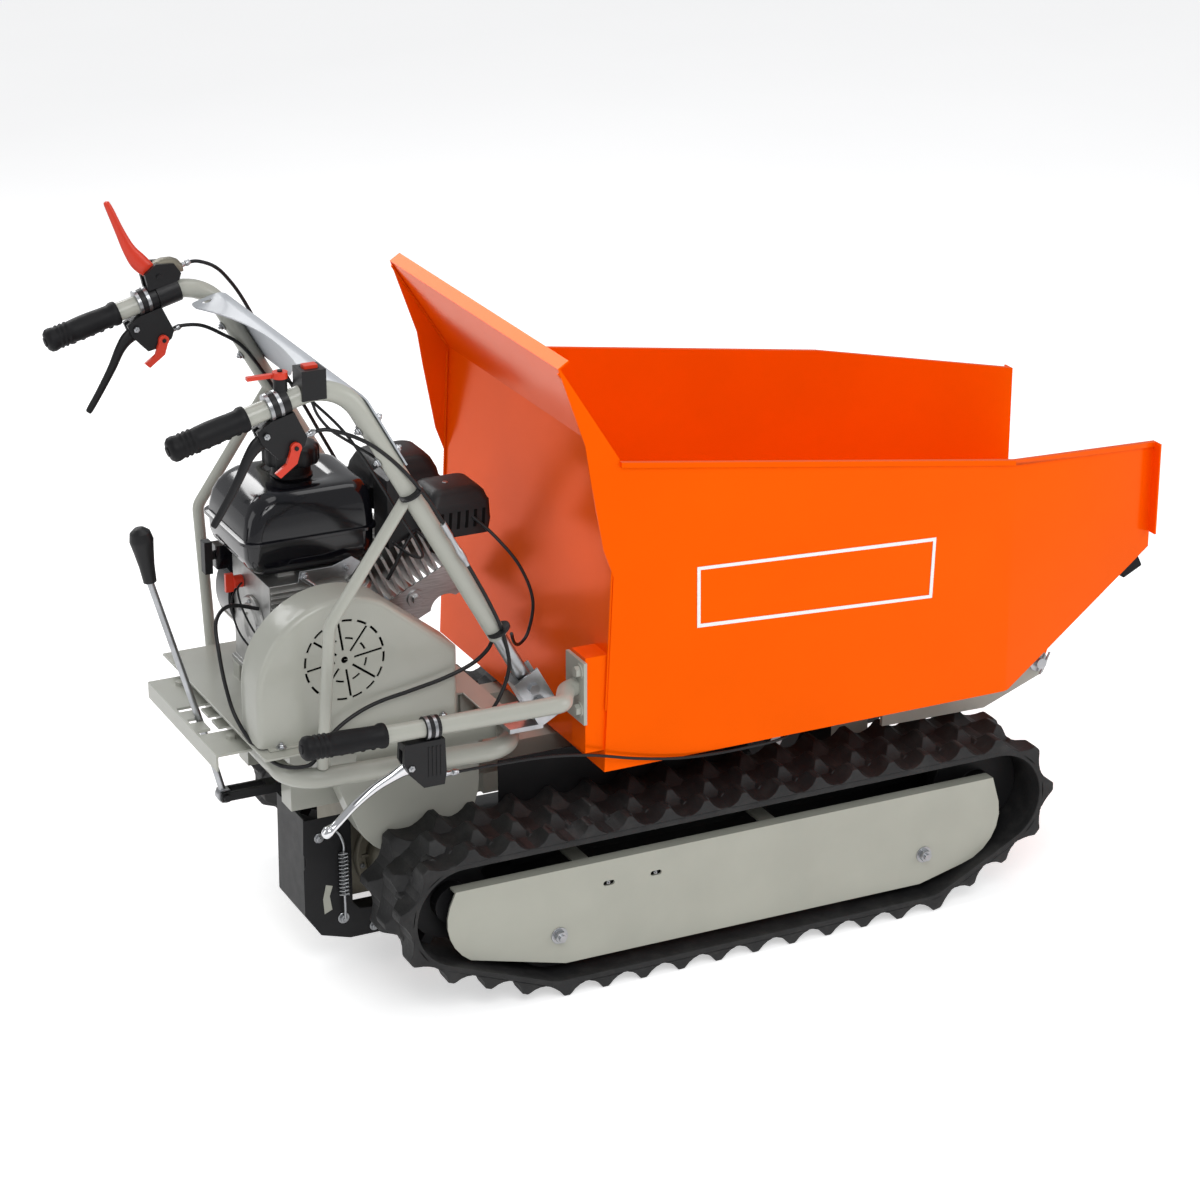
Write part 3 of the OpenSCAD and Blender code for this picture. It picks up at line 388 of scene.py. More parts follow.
def along(s, off):
    """The point (x, z) at length s along the band and off above its inner face."""
    s %= TRACK_LEN
    for i in range(4):
        (cx, cz), r = WHEELS[i]
        if s < WRAP[i]:
            w = radians(enter(i)) + s / WRAP[i] * radians(leave(i) - enter(i))
            return cx + (r + off) * cos(w), cz + (r + off) * sin(w)
        s -= WRAP[i]
        if s <= RUN[i] or i == 3:
            w = radians(leave(i))
            return cx + (r + off) * cos(w) - s * sin(w), cz + (r + off) * sin(w) + s * cos(w)
        s -= RUN[i]


# Each lug is a stack of rings: (half length along the band, y from, y to, height above its inner face)
BAND_SECTION = [(370, 0.5), (370, 9.5), (367, BAND), (193, BAND), (190, 9.5), (190, 0.5), (192, 0), (368, 0)]
EDGE_LUG = [(34, 370, 306, 10.5), (23, 370, 312, 14), (14, 370, 320, 20), (8.5, 369, 328, 27),
            (5.5, 367, 334, 31.5), (3.5, 364, 336, 32)]
MIDDLE_LUG = [(30, 324, 236, 10.5), (22, 317, 243, 14), (13, 309, 251, 20), (8, 303, 257, 27),
              (5, 299, 261, 31.5), (3, 297, 263, 32)]
INNER_LUG = [(a, 560 - y0, 560 - y1, h) for a, y0, y1, h in EDGE_LUG]
WEB = [(11, 330, 300, 11), (7, 328, 302, 16), (4, 326, 304, 18.5)]
LINK_LUGS = ((EDGE_LUG, 0.5), (INNER_LUG, 0.5), (MIDDLE_LUG, 0.0), (WEB, 0.27), (WEB, 0.73))


def track(verts, faces, side):
    """Adds one track's band and lugs to the lists."""

    def put(s, y, h):
        x, z = along(s, h)
        verts.append((x, y * side, max(z, 0.0)))
        return len(verts) - 1

    n = LINKS * STEPS_PER_LINK
    ids = [[put(k * TRACK_LEN / n, y, h) for y, h in BAND_SECTION] for k in range(n)]
    for k in range(n):
        a, b = ids[k], ids[(k + 1) % n]
        faces.extend((a[j - 1], a[j], b[j], b[j - 1]) for j in range(len(BAND_SECTION)))
    for k in range(LINKS):
        for rings, phase in LINK_LUGS:
            s0 = (k + phase) * PITCH
            loops = [[put(s0 + q * a, y, h) for q, y in ((-1, y0), (1, y0), (1, y1), (-1, y1))]
                     for a, y0, y1, h in rings]
            for low, high in zip(loops, loops[1:]):
                faces.extend((low[j - 1], low[j], high[j], high[j - 1]) for j in range(4))
            faces += [tuple(loops[0])[::-1], tuple(loops[-1])]


track_v, track_f = [], []
for s, _ in SIDES:
    track(track_v, track_f, s)
mesh("rubber_tracks", track_v, track_f, "track_rubber", "chassis", nodes=("tracks",), bevel=1.8, smooth=30)

# ---- pieces that keep the CAD shape, with rounded edges ----
# Bevel widths, by node
EDGE = {
    "tub": 1.4, "tub_bumpers": 3.0, "hinge_pin": 0.8, "tub_latch": 1.2, "dump_handle": 1.0, "dump_perch": 2.4,
    "main_frame": 2.0, "guard_tube": 0.0, "engine_deck": 1.2, "gate_plate": 1.6, "rear_guard": 1.5,
    "handlebars": 0.0, "bar_sockets": 1.6, "lever_perches": 2.0, "switch_housing": 4.0, "stop_rocker": 2.0,
    "lock_catch_right": 2.2, "lock_catch_left": 2.2, "throttle_lever": 2.0, "shift_bracket": 1.5,
    "shift_lever": 0.0, "shift_knob": 0.0, "track_beams": 2.0, "track_skirts": 1.7, "wheel_axles": 0.8,
    "gearbox": 9.0, "crankcase": 6.0, "cylinder_block": 1.0, "head_baffle": 0.8, "engine_shroud": 2.5,
    "recoil_housing": 5.0, "recoil_handle": 4.0, "engine_switch": 2.5, "crankshaft": 0.6,
    "driven_pulley": 0.8, "drive_belt": 1.2, "belt_housing": 1.2, "tension_arm": 1.0}
for wheel in ("sprocket", "idler", "rear_roller", "front_roller"):
    for _, tag in SIDES:
        EDGE["%s_%s" % (wheel, tag)] = 2.0
OTHER_FINISH = {"head_baffle": "brushed", "gearbox": "cast_olive"}
for node, width in EDGE.items():
    soften(node, width, seg=3 if width > 3 else 2, mat=OTHER_FINISH.get(node))

# ---- fuel tank, cap, air cleaner and muffler ----
stack("fuel_tank_shell", [
    (712, -506, -318, -34, 146, 22), (716, -513, -312, -38, 150, 24), (728, -524, -304, -46, 160, 26),
    (744, -529, -302, -48, 163, 26), (768, -530, -302, -48, 163, 26), (769.5, -537, -297, -54, 169, 30),
    (775, -537, -297, -54, 169, 30), (776.5, -530, -301, -48, 163, 26), (790, -528, -301, -47, 162, 26),
    (812, -523, -301, -45, 160, 28), (828, -515, -302, -42, 156, 31), (838, -506, -305, -39, 152, 33),
    (845, -495, -311, -34, 147, 33), (849, -482, -321, -27, 140, 31), (850, -468, -333, -18, 131, 29),
    (850, -450, -350, 6, 110, 26), (847.5, -444, -356, 12, 104, 24), (847.5, -436, -366, 22, 94, 20)],
    "engine_black", "chassis", nodes=("fuel_tank",), bevel=0.6, smooth=50)
lathe("filler_neck", [(40, 840), (40, 846), (34, 848), (36, 850), (33, 853), (33, 884)], (*CAP_AT, 0), Z,
      "black_plastic", "chassis", slot="engine_black")


def cap_ribs(w, r, _h):
    """Twelve ribs 3 mm high on the cap's skirt, which is the part wider than a radius of 40."""
    return r + (3.0 if r > 40 else 0) * (0.5 + 0.5 * math.tanh(4 * cos(12 * w)))


lathe("fuel_cap_shell", [(35, 871), (43.5, 871.5), (45, 874), (45, 895), (43.5, 899), (40, 901.5), (36, 903),
                         (20, 903), (18, 901.5), (1, 901.5)], (*CAP_AT, 0), Z, "black_plastic",
      "fuel_cap", sides=144, ripple=cap_ribs, nodes=("fuel_cap",), smooth=60)
stack("air_cleaner_shell", [
    (782, -288, -166, 2, 118, 12), (785, -292, -162, -2, 122, 14), (822, -292, -162, -2, 122, 14),
    (824, -290, -164, 0, 120, 14), (836, -288, -166, 2, 118, 16), (852, -281, -173, 8, 112, 20),
    (860, -274, -180, 15, 105, 20), (862, -268, -186, 21, 99, 18)], "black_plastic", "chassis",
    nodes=("air_cleaner",), bevel=0.6, smooth=50)
lathe("air_cleaner_knob", [(9, 0), (9.5, 1), (9.5, 5), (7, 6.5)], (-226, 60, 855), Z, "zinc", "chassis")
stack("muffler_shell", [
    (757, -230, -128, -115, -93, 8), (782, -234, -124, -118, -90, 9), (782.2, -234, -124, -118, -12, 10),
    (790, -234, -124, -118, -12, 12), (814, -233, -125, -117, -13, 12), (816, -231, -127, -115, -15, 12),
    (828, -227, -131, -111, -19, 14), (835, -221, -138, -105, -25, 14), (838, -213, -146, -97, -33, 12)],
    "black_metal", "chassis", nodes=("muffler",), bevel=0.6, smooth=50)
# painted shade: flat dark marks on the muffler guard stand in for the shade in its slots
for k in range(6):
    x = -218 + k * 15
    slab("muffler_slot_shade_%d" % k, [(x, 772), (x + 5, 772), (x + 7, 802), (x + 2, 802)], -118.6, -116,
         "void_black", "chassis", slot="black_metal")
lathe("muffler_knob", [(9, 0), (10, 1), (10, 4), (6, 5.5), (4, 8)], (-186, -66, 831), Z, "zinc", "chassis")

# ---- grips ----
GRIP_END, BEND = Vector((-737, 0, 1054)), Vector((-464, 0, 1129))
GRIP = (GRIP_END - BEND).normalized()


def grip_profile(length):
    """Rounded end, three ribs, a waisted middle and a flange, from the free end back along the bar."""
    out = [(4, 10), (8, 9.4), (8.5, 7.4), (15, 6.5), (19.5, 2), (20.5, -4), (19.5, -10)]
    for k in range(3):
        b = -14 - k * 8
        out += [(18.4, b), (20.2, b - 2), (20.2, b - 4), (18.4, b - 6)]
    out += [(19.2, -44), (19.8, -60), (19.4, -80), (18.6, -94), (18.2, -length + 14)]
    return out + [(20.6, -length + 9), (20.8, -length + 3), (19.6, -length), (16.3, -length)]


def grip(name, nub_name, end, axis, length, under, nub_from, nub_step, body, node):
    """A moulded grip whose free end is at end, with five nubs on its under side."""
    lathe(name, grip_profile(length), end, axis, "grip_rubber", body, nodes=(node,), smooth=60)
    for k in range(5):
        at = end - axis * (nub_from + k * nub_step) + under * 17.5
        lathe(nub_name % k, [(5, 0), (5, 2), (3.6, 3.6), (1.5, 4.2)], at, under, "grip_rubber", body,
              sides=16, smooth=60)


UNDER_GRIP = Vector((0.265, 0, -0.964))
for s, tag in SIDES:
    grip("hand_grip_" + tag, "grip_nub_" + tag + "_%d", GRIP_END + Y * BAR_Y * s, GRIP, 124, UNDER_GRIP, 38,
         17, "chassis", "hand_grips")
DUMP_GRIP_END, DUMP_AXIS = Vector((-566, -380, 553)), Vector((-448, 0, 8)).normalized()
grip("dump_grip_shell", "dump_grip_nub_%d", DUMP_GRIP_END, DUMP_AXIS, 134, -Z, 42, 18, "tub", "dump_grip")

# ---- levers: bars through (position, half width, half height) ----
# The steering levers are drawn from their pivot: U runs forward along the grip, V runs down from it
U, V = Vector((0.9643, 0, 0.2649)), Vector((0.2649, 0, -0.9643))
STEERING_BLADE = [(20, 30, 5.6, 8), (4, 12, 5.7, 13), (-14, 14, 5.7, 12), (-34, 28, 5.6, 9),
                  (-58, 54, 5.4, 7.5), (-92, 86, 5.2, 6.5), (-116, 107, 5.2, 6), (-121, 111, 4, 4)]


def lever_pivot(s):
    return Vector((-591, BAR_Y * s, 1058))


for s, tag in SIDES:
    lever = "steering_lever_" + tag
    o = lever_pivot(s)
    sweep(lever + "_shell", [(*(o + U * a + V * b), w, h) for a, b, w, h in STEERING_BLADE], "black_plastic",
          lever, n=6, sides=18, nodes=(lever,))
    bolt("steering_pivot_" + tag, o - Y * 17, -Y, 5.5, washer=False)
CLUTCH_BLADE = [(-547, 1144, 9, 9), (-558, 1152, 9.2, 13), (-576, 1170, 8.5, 15), (-592, 1194, 7, 11),
                (-606, 1226, 6.2, 8), (-620, 1262, 5.6, 6.5), (-626, 1276, 4.5, 5.2), (-627, 1279, 2.5, 3)]
sweep("clutch_lever_shell", [(x, BAR_Y, z, w, h) for x, z, w, h in CLUTCH_BLADE], "red_plastic",
      "clutch_lever", n=6, sides=18, nodes=("clutch_lever",))
DUMP_BLADE = [(-366, 466, 5.5, 6), (-380, 480, 6.5, 12), (-396, 485, 6.5, 12), (-420, 476, 6.5, 9),
              (-452, 462, 7.5, 7.5), (-486, 440, 8.5, 6.4), (-512, 417, 8, 6), (-524, 407, 8, 7),
              (-532, 402, 10, 9.5), (-539, 396.5, 8, 7.5), (-542, 394.5, 3, 3)]
DUMP_Y = DUMP_GRIP_END.y
sweep("dump_lever_shell", [(x, DUMP_Y, z, w, h) for x, z, w, h in DUMP_BLADE], "chrome", "dump_lever", n=7,
      sides=24, nodes=("dump_lever",))
bolt("dump_lever_pivot", (-393, -396, 490), -Y, 6, "tub", washer=False, h=2.0)
for x in (-362, -349):
    on_handle = (x, DUMP_Y, 545 + (x + 118) * 8 / -448)
    lathe("perch_band_%d" % -x, [(18.6, -3), (19.8, -2.6), (19.8, 2.6), (18.6, 3)], on_handle, X, "zinc",
          "tub", sides=48)
for k in range(4):
    x = -364 + k * 7
    slab("perch_rib_%d" % k, [(x, 470), (x + 3, 470), (x + 3, 522), (x, 522)], -396.4, -394, "black_plastic",
         "tub", bevel=0.6)

# ---- belt cover: rounded shell with a round pattern of vents ----
COVER_AT, COVER_R, COVER_FOOT = (-432, 572), 152, 487
COVER_FRONT = (-232, 604)
VENT_AT = (-432, 618)


def cover_outline(d):
    """The cover's outline from its rear foot over the top to its front foot, drawn in by d."""
    pts = [(COVER_AT[0] - COVER_R + d, COVER_FOOT)]
    for k in range(29):
        w = radians(180 - 118 * k / 28)
        pts.append((COVER_AT[0] + (COVER_R - d) * cos(w), COVER_AT[1] + (COVER_R - d) * sin(w)))
    return pts + [(COVER_FRONT[0] - d, COVER_FRONT[1] - d), (COVER_FRONT[0] - d, COVER_FOOT)]


def cutter(verts, faces, outline):
    """Adds an (x, z) outline to the lists, as a solid that passes through the cover's face."""
    base, m = len(verts), len(outline)
    verts.extend([(x, -222, z) for x, z in outline] + [(x, -205, z) for x, z in outline])
    faces.append(tuple(range(base, base + m)))
    faces.append(tuple(range(base + m, base + 2 * m))[::-1])
    for k in range(m):
        j = (k + 1) % m
        faces.append((base + k, base + j, base + m + j, base + m + k))


def vent(r0, r1, a0, a1, steps):
    """Outline of a curved slot between two radii and two angles."""
    turns = [radians(a0 + (a1 - a0) * k / steps) for k in range(steps + 1)]
    outer = [(VENT_AT[0] + r1 * cos(a), VENT_AT[1] + r1 * sin(a)) for a in turns]
    return outer + [(VENT_AT[0] + r0 * cos(a), VENT_AT[1] + r0 * sin(a)) for a in reversed(turns)]


def spoke(degrees_round):
    """Outline of a straight slot that points at the centre."""
    a = radians(degrees_round)
    corners = ((17, -2), (66, -2), (66, 2), (17, 2))
    return [(VENT_AT[0] + cos(a) * r - sin(a) * t, VENT_AT[1] + sin(a) * r + cos(a) * t) for r, t in corners]


# The face (far from the engine) is rounded into the rim: (y, how far the outline is drawn in)
COVER_LEVELS = [(-138, 0), (-204, 0), (-208.5, 1), (-212, 3.2), (-214.2, 6.5), (-215, 10.5)]
cover_v, cover_f = [], []
for y, d in COVER_LEVELS:
    cover_v += [(x, y, z) for x, z in cover_outline(d)]
n = len(cover_outline(0))
for i in range(len(COVER_LEVELS) - 1):
    cover_f += [(i * n + k, i * n + k + 1, (i + 1) * n + k + 1, (i + 1) * n + k) for k in range(n - 1)]
cover_f.append(tuple(range((len(COVER_LEVELS) - 1) * n, len(COVER_LEVELS) * n)))
cover = mesh("belt_cover_shell", cover_v, cover_f, "frame_grey", "chassis", nodes=("belt_cover",), smooth=40)
cover_sheet = cover.modifiers.new("sheet", "SOLIDIFY")
cover_sheet.thickness = 2.0 * MM
cover_sheet.offset = -1
cut_v, cut_f = [], []
for k in range(8):
    cutter(cut_v, cut_f, spoke(k * 45 + 8))
for k in range(16):
    cutter(cut_v, cut_f, vent(66.5, 70.5, k * 22.5 + 10, k * 22.5 + 25, 4))
for k in range(8):
    cutter(cut_v, cut_f, vent(36, 39.6, k * 45 + 20, k * 45 + 42, 4))
cutter(cut_v, cut_f, vent(0.01, 6, 0, 359, 20))
pierce(cover, mesh("vent_cutter", cut_v, cut_f, "void_black", "chassis"))
slab("cover_inner_shade", cover_outline(6), -200, -198, "void_black", "chassis", slot="frame_grey")
slab("cover_flange", [(-570, 484.2), (-240, 484.2), (-240, 487.2), (-570, 487.2)], -226, -212, "frame_grey",
     "chassis", bevel=0.8)
for x in (-548, -400, -262):
    bolt("cover_bolt_%d" % -x, (x, -220, COVER_FOOT), Z, 6)

# ---- painted shade: dark sheets behind the slots of the skirts ----
for s, _ in SIDES:
    for k, x in enumerate((-19, 70)):
        slab("slot_shade_sheet_%d_%d" % (s + 1, k), [(x - 16, 176), (x + 16, 176), (x + 16, 194), (x - 16, 194)],
             341 * s, 343.5 * s, "void_black", "chassis", slot="skirt_grey")
        bolt("slot_bolt_%d_%d" % (s + 1, k), (x, 343.5 * s, 185), Y * s, 4, washer=False, h=2.5)

# ---- cables ----
cable("steering_cable_right", [
    (-526, -308, 1042), (-500, -312, 1051), (-476, -318, 1048), (-432, -322, 1027), (-392, -324, 995),
    (-352, -328, 950), (-314, -330, 892), (-284, -330, 836), (-252, -330, 776), (-222, -330, 716),
    (-200, -326, 664), (-186, -318, 600), (-196, -300, 540), (-206, -270, 496)], nodes=("control_cables",))
cable("steering_cable_left", [
    (-526, 308, 1042), (-512, 304, 1050), (-476, 300, 1048), (-441, 296, 1030), (-402, 290, 1000),
    (-356, 288, 930), (-300, 288, 830), (-240, 288, 720), (-200, 286, 630), (-196, 278, 540),
    (-206, 262, 496)])
cable("clutch_cable", [
    (-504, 308, 1154), (-490, 308, 1158), (-470, 309, 1157), (-442, 312, 1144), (-416, 322, 1118),
    (-384, 330, 1070), (-330, 330, 960), (-262, 330, 830), (-206, 326, 710), (-190, 316, 600),
    (-196, 300, 520), (-210, 262, 496)])
cable("switch_wire", [
    (-512, -303, 1108), (-506, -300, 1094), (-496, -298, 1070), (-474, -296, 1042), (-436, -294, 1012),
    (-392, -290, 976), (-350, -286, 920), (-310, -286, 850), (-280, -240, 800), (-270, -140, 790)], r=2.4)
cable("throttle_cable", [
    (-566, -290, 1140), (-540, -284, 1130), (-500, -284, 1090), (-440, -286, 1020), (-370, -286, 900),
    (-322, -284, 812), (-300, -200, 770), (-296, -100, 760)], r=2.4)
cable("front_cable", [
    (-196, -286, 650), (-184, -250, 624), (-188, -234, 598), (-214, -229, 576), (-262, -228, 560),
    (-320, -228, 549), (-386, -229, 538), (-434, -231, 520), (-470, -238, 499), (-496, -252, 478),
    (-520, -262, 466), (-560, -246, 468), (-580, -190, 480), (-592, -132, 512), (-600, -110, 560),
    (-606, -100, 620), (-598, -70, 662), (-560, -30, 668), (-506, -20, 650)], r=3.4)
cable("side_loop", [
    (-160, -116, 790), (-136, -150, 764), (-104, -180, 716), (-84, -190, 655), (-92, -190, 600),
    (-112, -200, 584), (-136, -230, 600), (-164, -280, 640)], r=2.8)
cable("dump_cable", [
    (-334, -380, 462), (-316, -380, 462), (-250, -378, 460), (-150, -370, 452), (-60, -360, 434),
    (30, -354, 408), (120, -350, 390), (230, -346, 383), (330, -328, 381), (372, -250, 381),
    (320, -110, 381), (210, -34, 381), (146, -14, 379)], r=2.6, body="tub")
FERRULES = (("dump_ferrule", (-334, -380, 462), (-306, -380, 462), "tub"),
            ("steer_ferrule_r", (-530, -308, 1041), (-506, -310, 1050), "chassis"),
            ("steer_ferrule_l", (-530, 308, 1041), (-508, 305, 1050), "chassis"),
            ("clutch_ferrule", (-508, 308, 1152), (-486, 308, 1159), "chassis"),
            ("inline_adjuster", (-304, -330, 872), (-262, -330, 794), "chassis"))
for name, start, end, body in FERRULES:
    run = Vector(end) - Vector(start)
    ends = [(3.6, 0), (5.2, 0.8)]
    steps = [(5.2, 0.3), (4.2, 0.34), (4.2, 0.6), (5.6, 0.64), (5.6, 0.86), (4.4, 0.9), (4.0, 1)]
    lathe(name, ends + [(r, share * run.length) for r, share in steps], start, run, "zinc", body, sides=24,
          smooth=50)
for name, at in (("zip_tie_top", (-352, -318, 926)), ("zip_tie_low", (-204, -318, 668))):
    lathe(name, [(19, -2), (20.4, -1.6), (20.4, 1.6), (19, 2)], at, (0.484, 0, -0.875), "black_plastic",
          "chassis", sides=40)

# ---- control details ----
stack("clutch_cast_cover", [
    (1147, -553, -500, 294, 322, 8), (1158, -556, -502, 293, 323, 9), (1166, -550, -508, 296, 320, 9),
    (1170, -540, -516, 300, 316, 7)], "cast_olive", "chassis", bevel=0.8, smooth=50, slot="black_plastic")
for s, tag in SIDES:
    for k, a in enumerate((20, 36)):
        lathe("perch_band_%s_%d" % (tag, k), [(21.2, -3.2), (22.2, -2.8), (22.2, 2.8), (21.2, 3.2)],
              lever_pivot(s) + U * a - V * 37, U, "zinc", "chassis", sides=48)

# ---- console: one sheet folded over the bends of the handlebars ----
BAR_DIR, BAR_OUT = Vector((0.484, 0, -0.875)), Vector((0.875, 0, 0.484))
FOLD_AT, FOLD_REACH = BEND + BAR_DIR * 34 + BAR_OUT * 17.6, 22
PANEL_DROP, PANEL_HALF, PANEL_ARC_R, PANEL_ARC_AT = 152, 320, 260, 352
SHELF_HALF, SHELF_MIDDLE, SHELF_ARC_R, TAB_REACH, TAB_CORNER = 288, 24, 857, 65, 9
TAB_HOLE_R, TAB_HOLE_AT, TAB_HOLE_Y = 9, 41, 271
FLARE_FROM, FLARE_OVER = 2, 20
ROWS, COLUMNS = 44, 96


def sheet_point(s, y):
    """Point of the sheet's middle at arc length s from the fold, down the bars if s is negative."""
    if abs(s) >= FOLD_REACH:
        p = FOLD_AT + (GRIP * s if s > 0 else BAR_DIR * -s)
    else:
        t = (s + FOLD_REACH) / (2 * FOLD_REACH)
        p = FOLD_AT + BAR_DIR * FOLD_REACH * (1 - t) ** 2 + GRIP * FOLD_REACH * t ** 2
    return p.x, y, p.z


def sheet_ends(y):
    """Arc lengths of the sheet's two edges at y: each is a wide arc that runs out into straight tabs."""
    low = -PANEL_DROP
    if abs(y) < PANEL_ARC_R:
        low = -min(PANEL_DROP, PANEL_ARC_AT - math.sqrt(PANEL_ARC_R ** 2 - y ** 2))
    high = min(TAB_REACH, SHELF_MIDDLE + SHELF_ARC_R - math.sqrt(SHELF_ARC_R ** 2 - y ** 2))
    into_corner = max(0, TAB_CORNER - (SHELF_HALF - abs(y)))
    return low, high - TAB_CORNER + math.sqrt(max(0, TAB_CORNER ** 2 - into_corner ** 2))


sheet_v, sheet_f = [], []
for i in range(ROWS + 1):
    for k in range(COLUMNS + 1):
        t = sin(pi * (k / COLUMNS - 0.5))
        low, high = sheet_ends(SHELF_HALF * t)
        arc = low + (high - low) * i / ROWS
        flare = min(1, max(0, (-arc - FLARE_FROM) / FLARE_OVER))
        half = SHELF_HALF + (PANEL_HALF - SHELF_HALF) * flare ** 2 * (3 - 2 * flare)
        sheet_v.append(sheet_point(arc, half * t))
for i in range(ROWS):
    for k in range(COLUMNS):
        q = i * (COLUMNS + 1) + k
        sheet_f.append((q, q + 1, q + COLUMNS + 2, q + COLUMNS + 1))
console = mesh("console_sheet", sheet_v, sheet_f, "console_grey", "chassis", nodes=("console_plate",),
               smooth=40)
console_sheet = console.modifiers.new("sheet", "SOLIDIFY")
console_sheet.thickness = 2.8 * MM
console_sheet.offset = 0
for s, _ in SIDES:
    x, _, z = sheet_point(TAB_HOLE_AT, 0)
    hole = lathe("tab_hole_cutter", [(TAB_HOLE_R, -8), (TAB_HOLE_R, 8)], (x, TAB_HOLE_Y * s, z),
                 GRIP.cross(Y), "void_black", "chassis")
    pierce(console, hole)
    for k, d in enumerate((94, 158)):
        at = BEND + BAR_DIR * d + Y * BAR_Y * s
        bolt("console_bolt_%d_%d" % (s + 1, k), at + BAR_OUT * 19.1, BAR_OUT, 6)
        bolt("console_nut_%d_%d" % (s + 1, k), at - BAR_OUT * 15.8, -BAR_OUT, 6)

# ---- sheet guard, spring and gearbox casting at the rear ----
slab("guard_side_plate", [
    (-479, 298), (-481, 236), (-476, 228), (-476, 214), (-481, 206), (-481, 122), (-453, 79), (-400, 63),
    (-344, 63), (-344, 112), (-382, 116), (-394, 130), (-394, 298)], -122.5, -120.2, "black_metal", "chassis",
    bevel=0.8)
slab("guard_slot", [(-446, 118), (-432, 124), (-436, 150), (-430, 168), (-442, 172), (-448, 146)], -123, -122,
     "skirt_grey", "chassis", slot="black_metal")
SPRING_AT, COIL_R, WIRE_R, COIL_STEPS = Vector((-412, -132, 150)), 8, 1.7, 72
coil = []
for k in range(COIL_STEPS):
    c = SPRING_AT + (X * cos(k * pi / 3) + Y * sin(k * pi / 3)) * COIL_R + Z * 1.15 * k
    coil.append((*c, WIRE_R))
sweep("guard_spring", coil, "zinc", "chassis", n=1, sides=8)
sweep("spring_hooks", [(-412, -132, 108, 2.4), (-412, -133, 130, 2.4), (-412, -132, 152, 2.4)], "zinc",
      "chassis", n=4, sides=10)
sweep("spring_top", [(-412, -132, 230, 2.4), (-412, -134, 246, 2.4), (-416, -128, 262, 2.4),
                     (-420, -122, 268, 2.4)], "zinc", "chassis", n=4, sides=10)
for k, (x, z, r) in enumerate(((-412, 104, 7), (-356, 77, 6), (-452, 262, 6))):
    bolt("guard_bolt_%d" % k, (x, -122.5, z), -Y, r)
for k in range(7):
    radial_rib("gear_rib_%d" % k, GEARBOX_AT, 20 + k * 26, 34, 74, 3, -92, -77, "cast_olive", slot="alloy",
               bevel=1.5)
lathe("gear_cover", [(84, 0), (84, 9), (80, 12), (66, 12), (62, 8)], GEARBOX_AT, -Y, "cast_olive", "chassis",
      slot="alloy", bevel=1.0)
bolt_ring("gear_bolt", GEARBOX_AT - Y * 12, X, -Y, 6, 73, 10, 5)
# painted shade: a black plate between the track and the frame stands in for the dark shade under the tub
slab("shade_plate", [(-150, 372), (-150, 262), (330, 262), (330, 372)], -188, -186, "black_metal", "chassis",
     bevel=0.6)

# ---- engine details: casting cover, linkage, plug lead, wires ----
lathe("case_cover", [(52, 0), (52, 5), (49, 8), (40, 8), (37, 11), (24, 11), (21, 7), (1, 7)],
      (-500, 18, 606), -X, "alloy", "chassis", bevel=0.8)
bolt_ring("case_bolt", (-508, 18, 606), Y, -X, 5, 45, 20, 4)
for k in range(4):
    z = 660 + k * 9
    slab("case_rib_%d" % k, [(-498, z), (-346, z), (-346, z + 3), (-498, z + 3)], -63, -57, "alloy",
         "chassis", bevel=0.8)
slab("governor_plate", [(-452, 702), (-356, 702), (-340, 722), (-356, 734), (-392, 722), (-448, 722)], -66,
     -63, "zinc", "chassis", bevel=0.5)
sweep("governor_arm", [(-446, -69, 712, 3, 4), (-420, -72, 690, 3, 4), (-396, -74, 668, 2.5, 3.5)], "zinc",
      "chassis", n=5, sides=10)
lathe("carburettor", [(15, 0), (17, 2), (17, 12), (13, 14), (13, 24), (18, 26), (18, 34), (10, 36)],
      (-352, -56, 700), (0.5, 0, -0.86), "alloy", "chassis", bevel=0.6)
bolt("governor_bolt_0", (-440, -66, 712), -Y, 5)
bolt("governor_bolt_1", (-366, -66, 716), -Y, 5)
sweep("plug_boot", [(-196, -40, 712, 9), (-204, -58, 730, 9), (-218, -66, 752, 8), (-230, -66, 770, 6)],
      "black_plastic", "chassis", n=5, sides=16)
cable("plug_lead", [(-230, -66, 768), (-250, -78, 762), (-272, -88, 742), (-288, -90, 716), (-300, -84, 690)],
      r=3.2)
cable("engine_wire_0", [(-504, 62, 668), (-520, 40, 664), (-524, 4, 640), (-516, -30, 610), (-500, -50, 590)],
      r=1.8)
cable("engine_wire_1", [(-504, 76, 664), (-528, 50, 640), (-532, 14, 606), (-520, -20, 580),
                        (-498, -54, 566)], r=1.8)
cable("engine_wire_2", [(-508, -10, 570), (-520, -34, 578), (-512, -54, 590), (-494, -62, 602)], r=1.8,
      mat="wire_yellow")
# ribbed starter cover with its fixing bolts
lathe("starter_rings", [(76, 0), (76, 3), (72, 4), (70, 2), (46, 2), (44, 5), (40, 5), (38, 2), (20, 2),
                        (18, 5), (1, 5)], STARTER_AT, Y, "black_plastic", "chassis", sides=72, bevel=0.5,
      slot="engine_black")
for k in range(16):
    radial_rib("starter_rib_%d" % k, STARTER_AT, k * 22.5, 44, 72, 2.2, 196, 200, "black_plastic", bevel=0.6,
               slot="engine_black")
bolt_ring("starter_bolt", STARTER_AT, X, Y, 4, 82, 35, 5)
lathe("oil_filler", [(11, 0), (13, 1), (13, 9), (11, 11), (4, 11), (4, 15), (1, 15)], (-498, -36, 538),
      (-0.9, 0, 0.3), "black_plastic", "chassis", sides=24)
for foot_x, bolt_x in ((-496, -486), (-334, -344)):
    for y in (-46, 106):
        bolt("engine_foot_%d_%d" % (-foot_x, y + 60), (bolt_x, y, 520), Z, 7)

# ---- tub details: plain side frame, weld beads ----
FRAME_PTS = [(144, 727), (603, 704), (599, 594), (145, 619)]
FRAME_LINE = 6


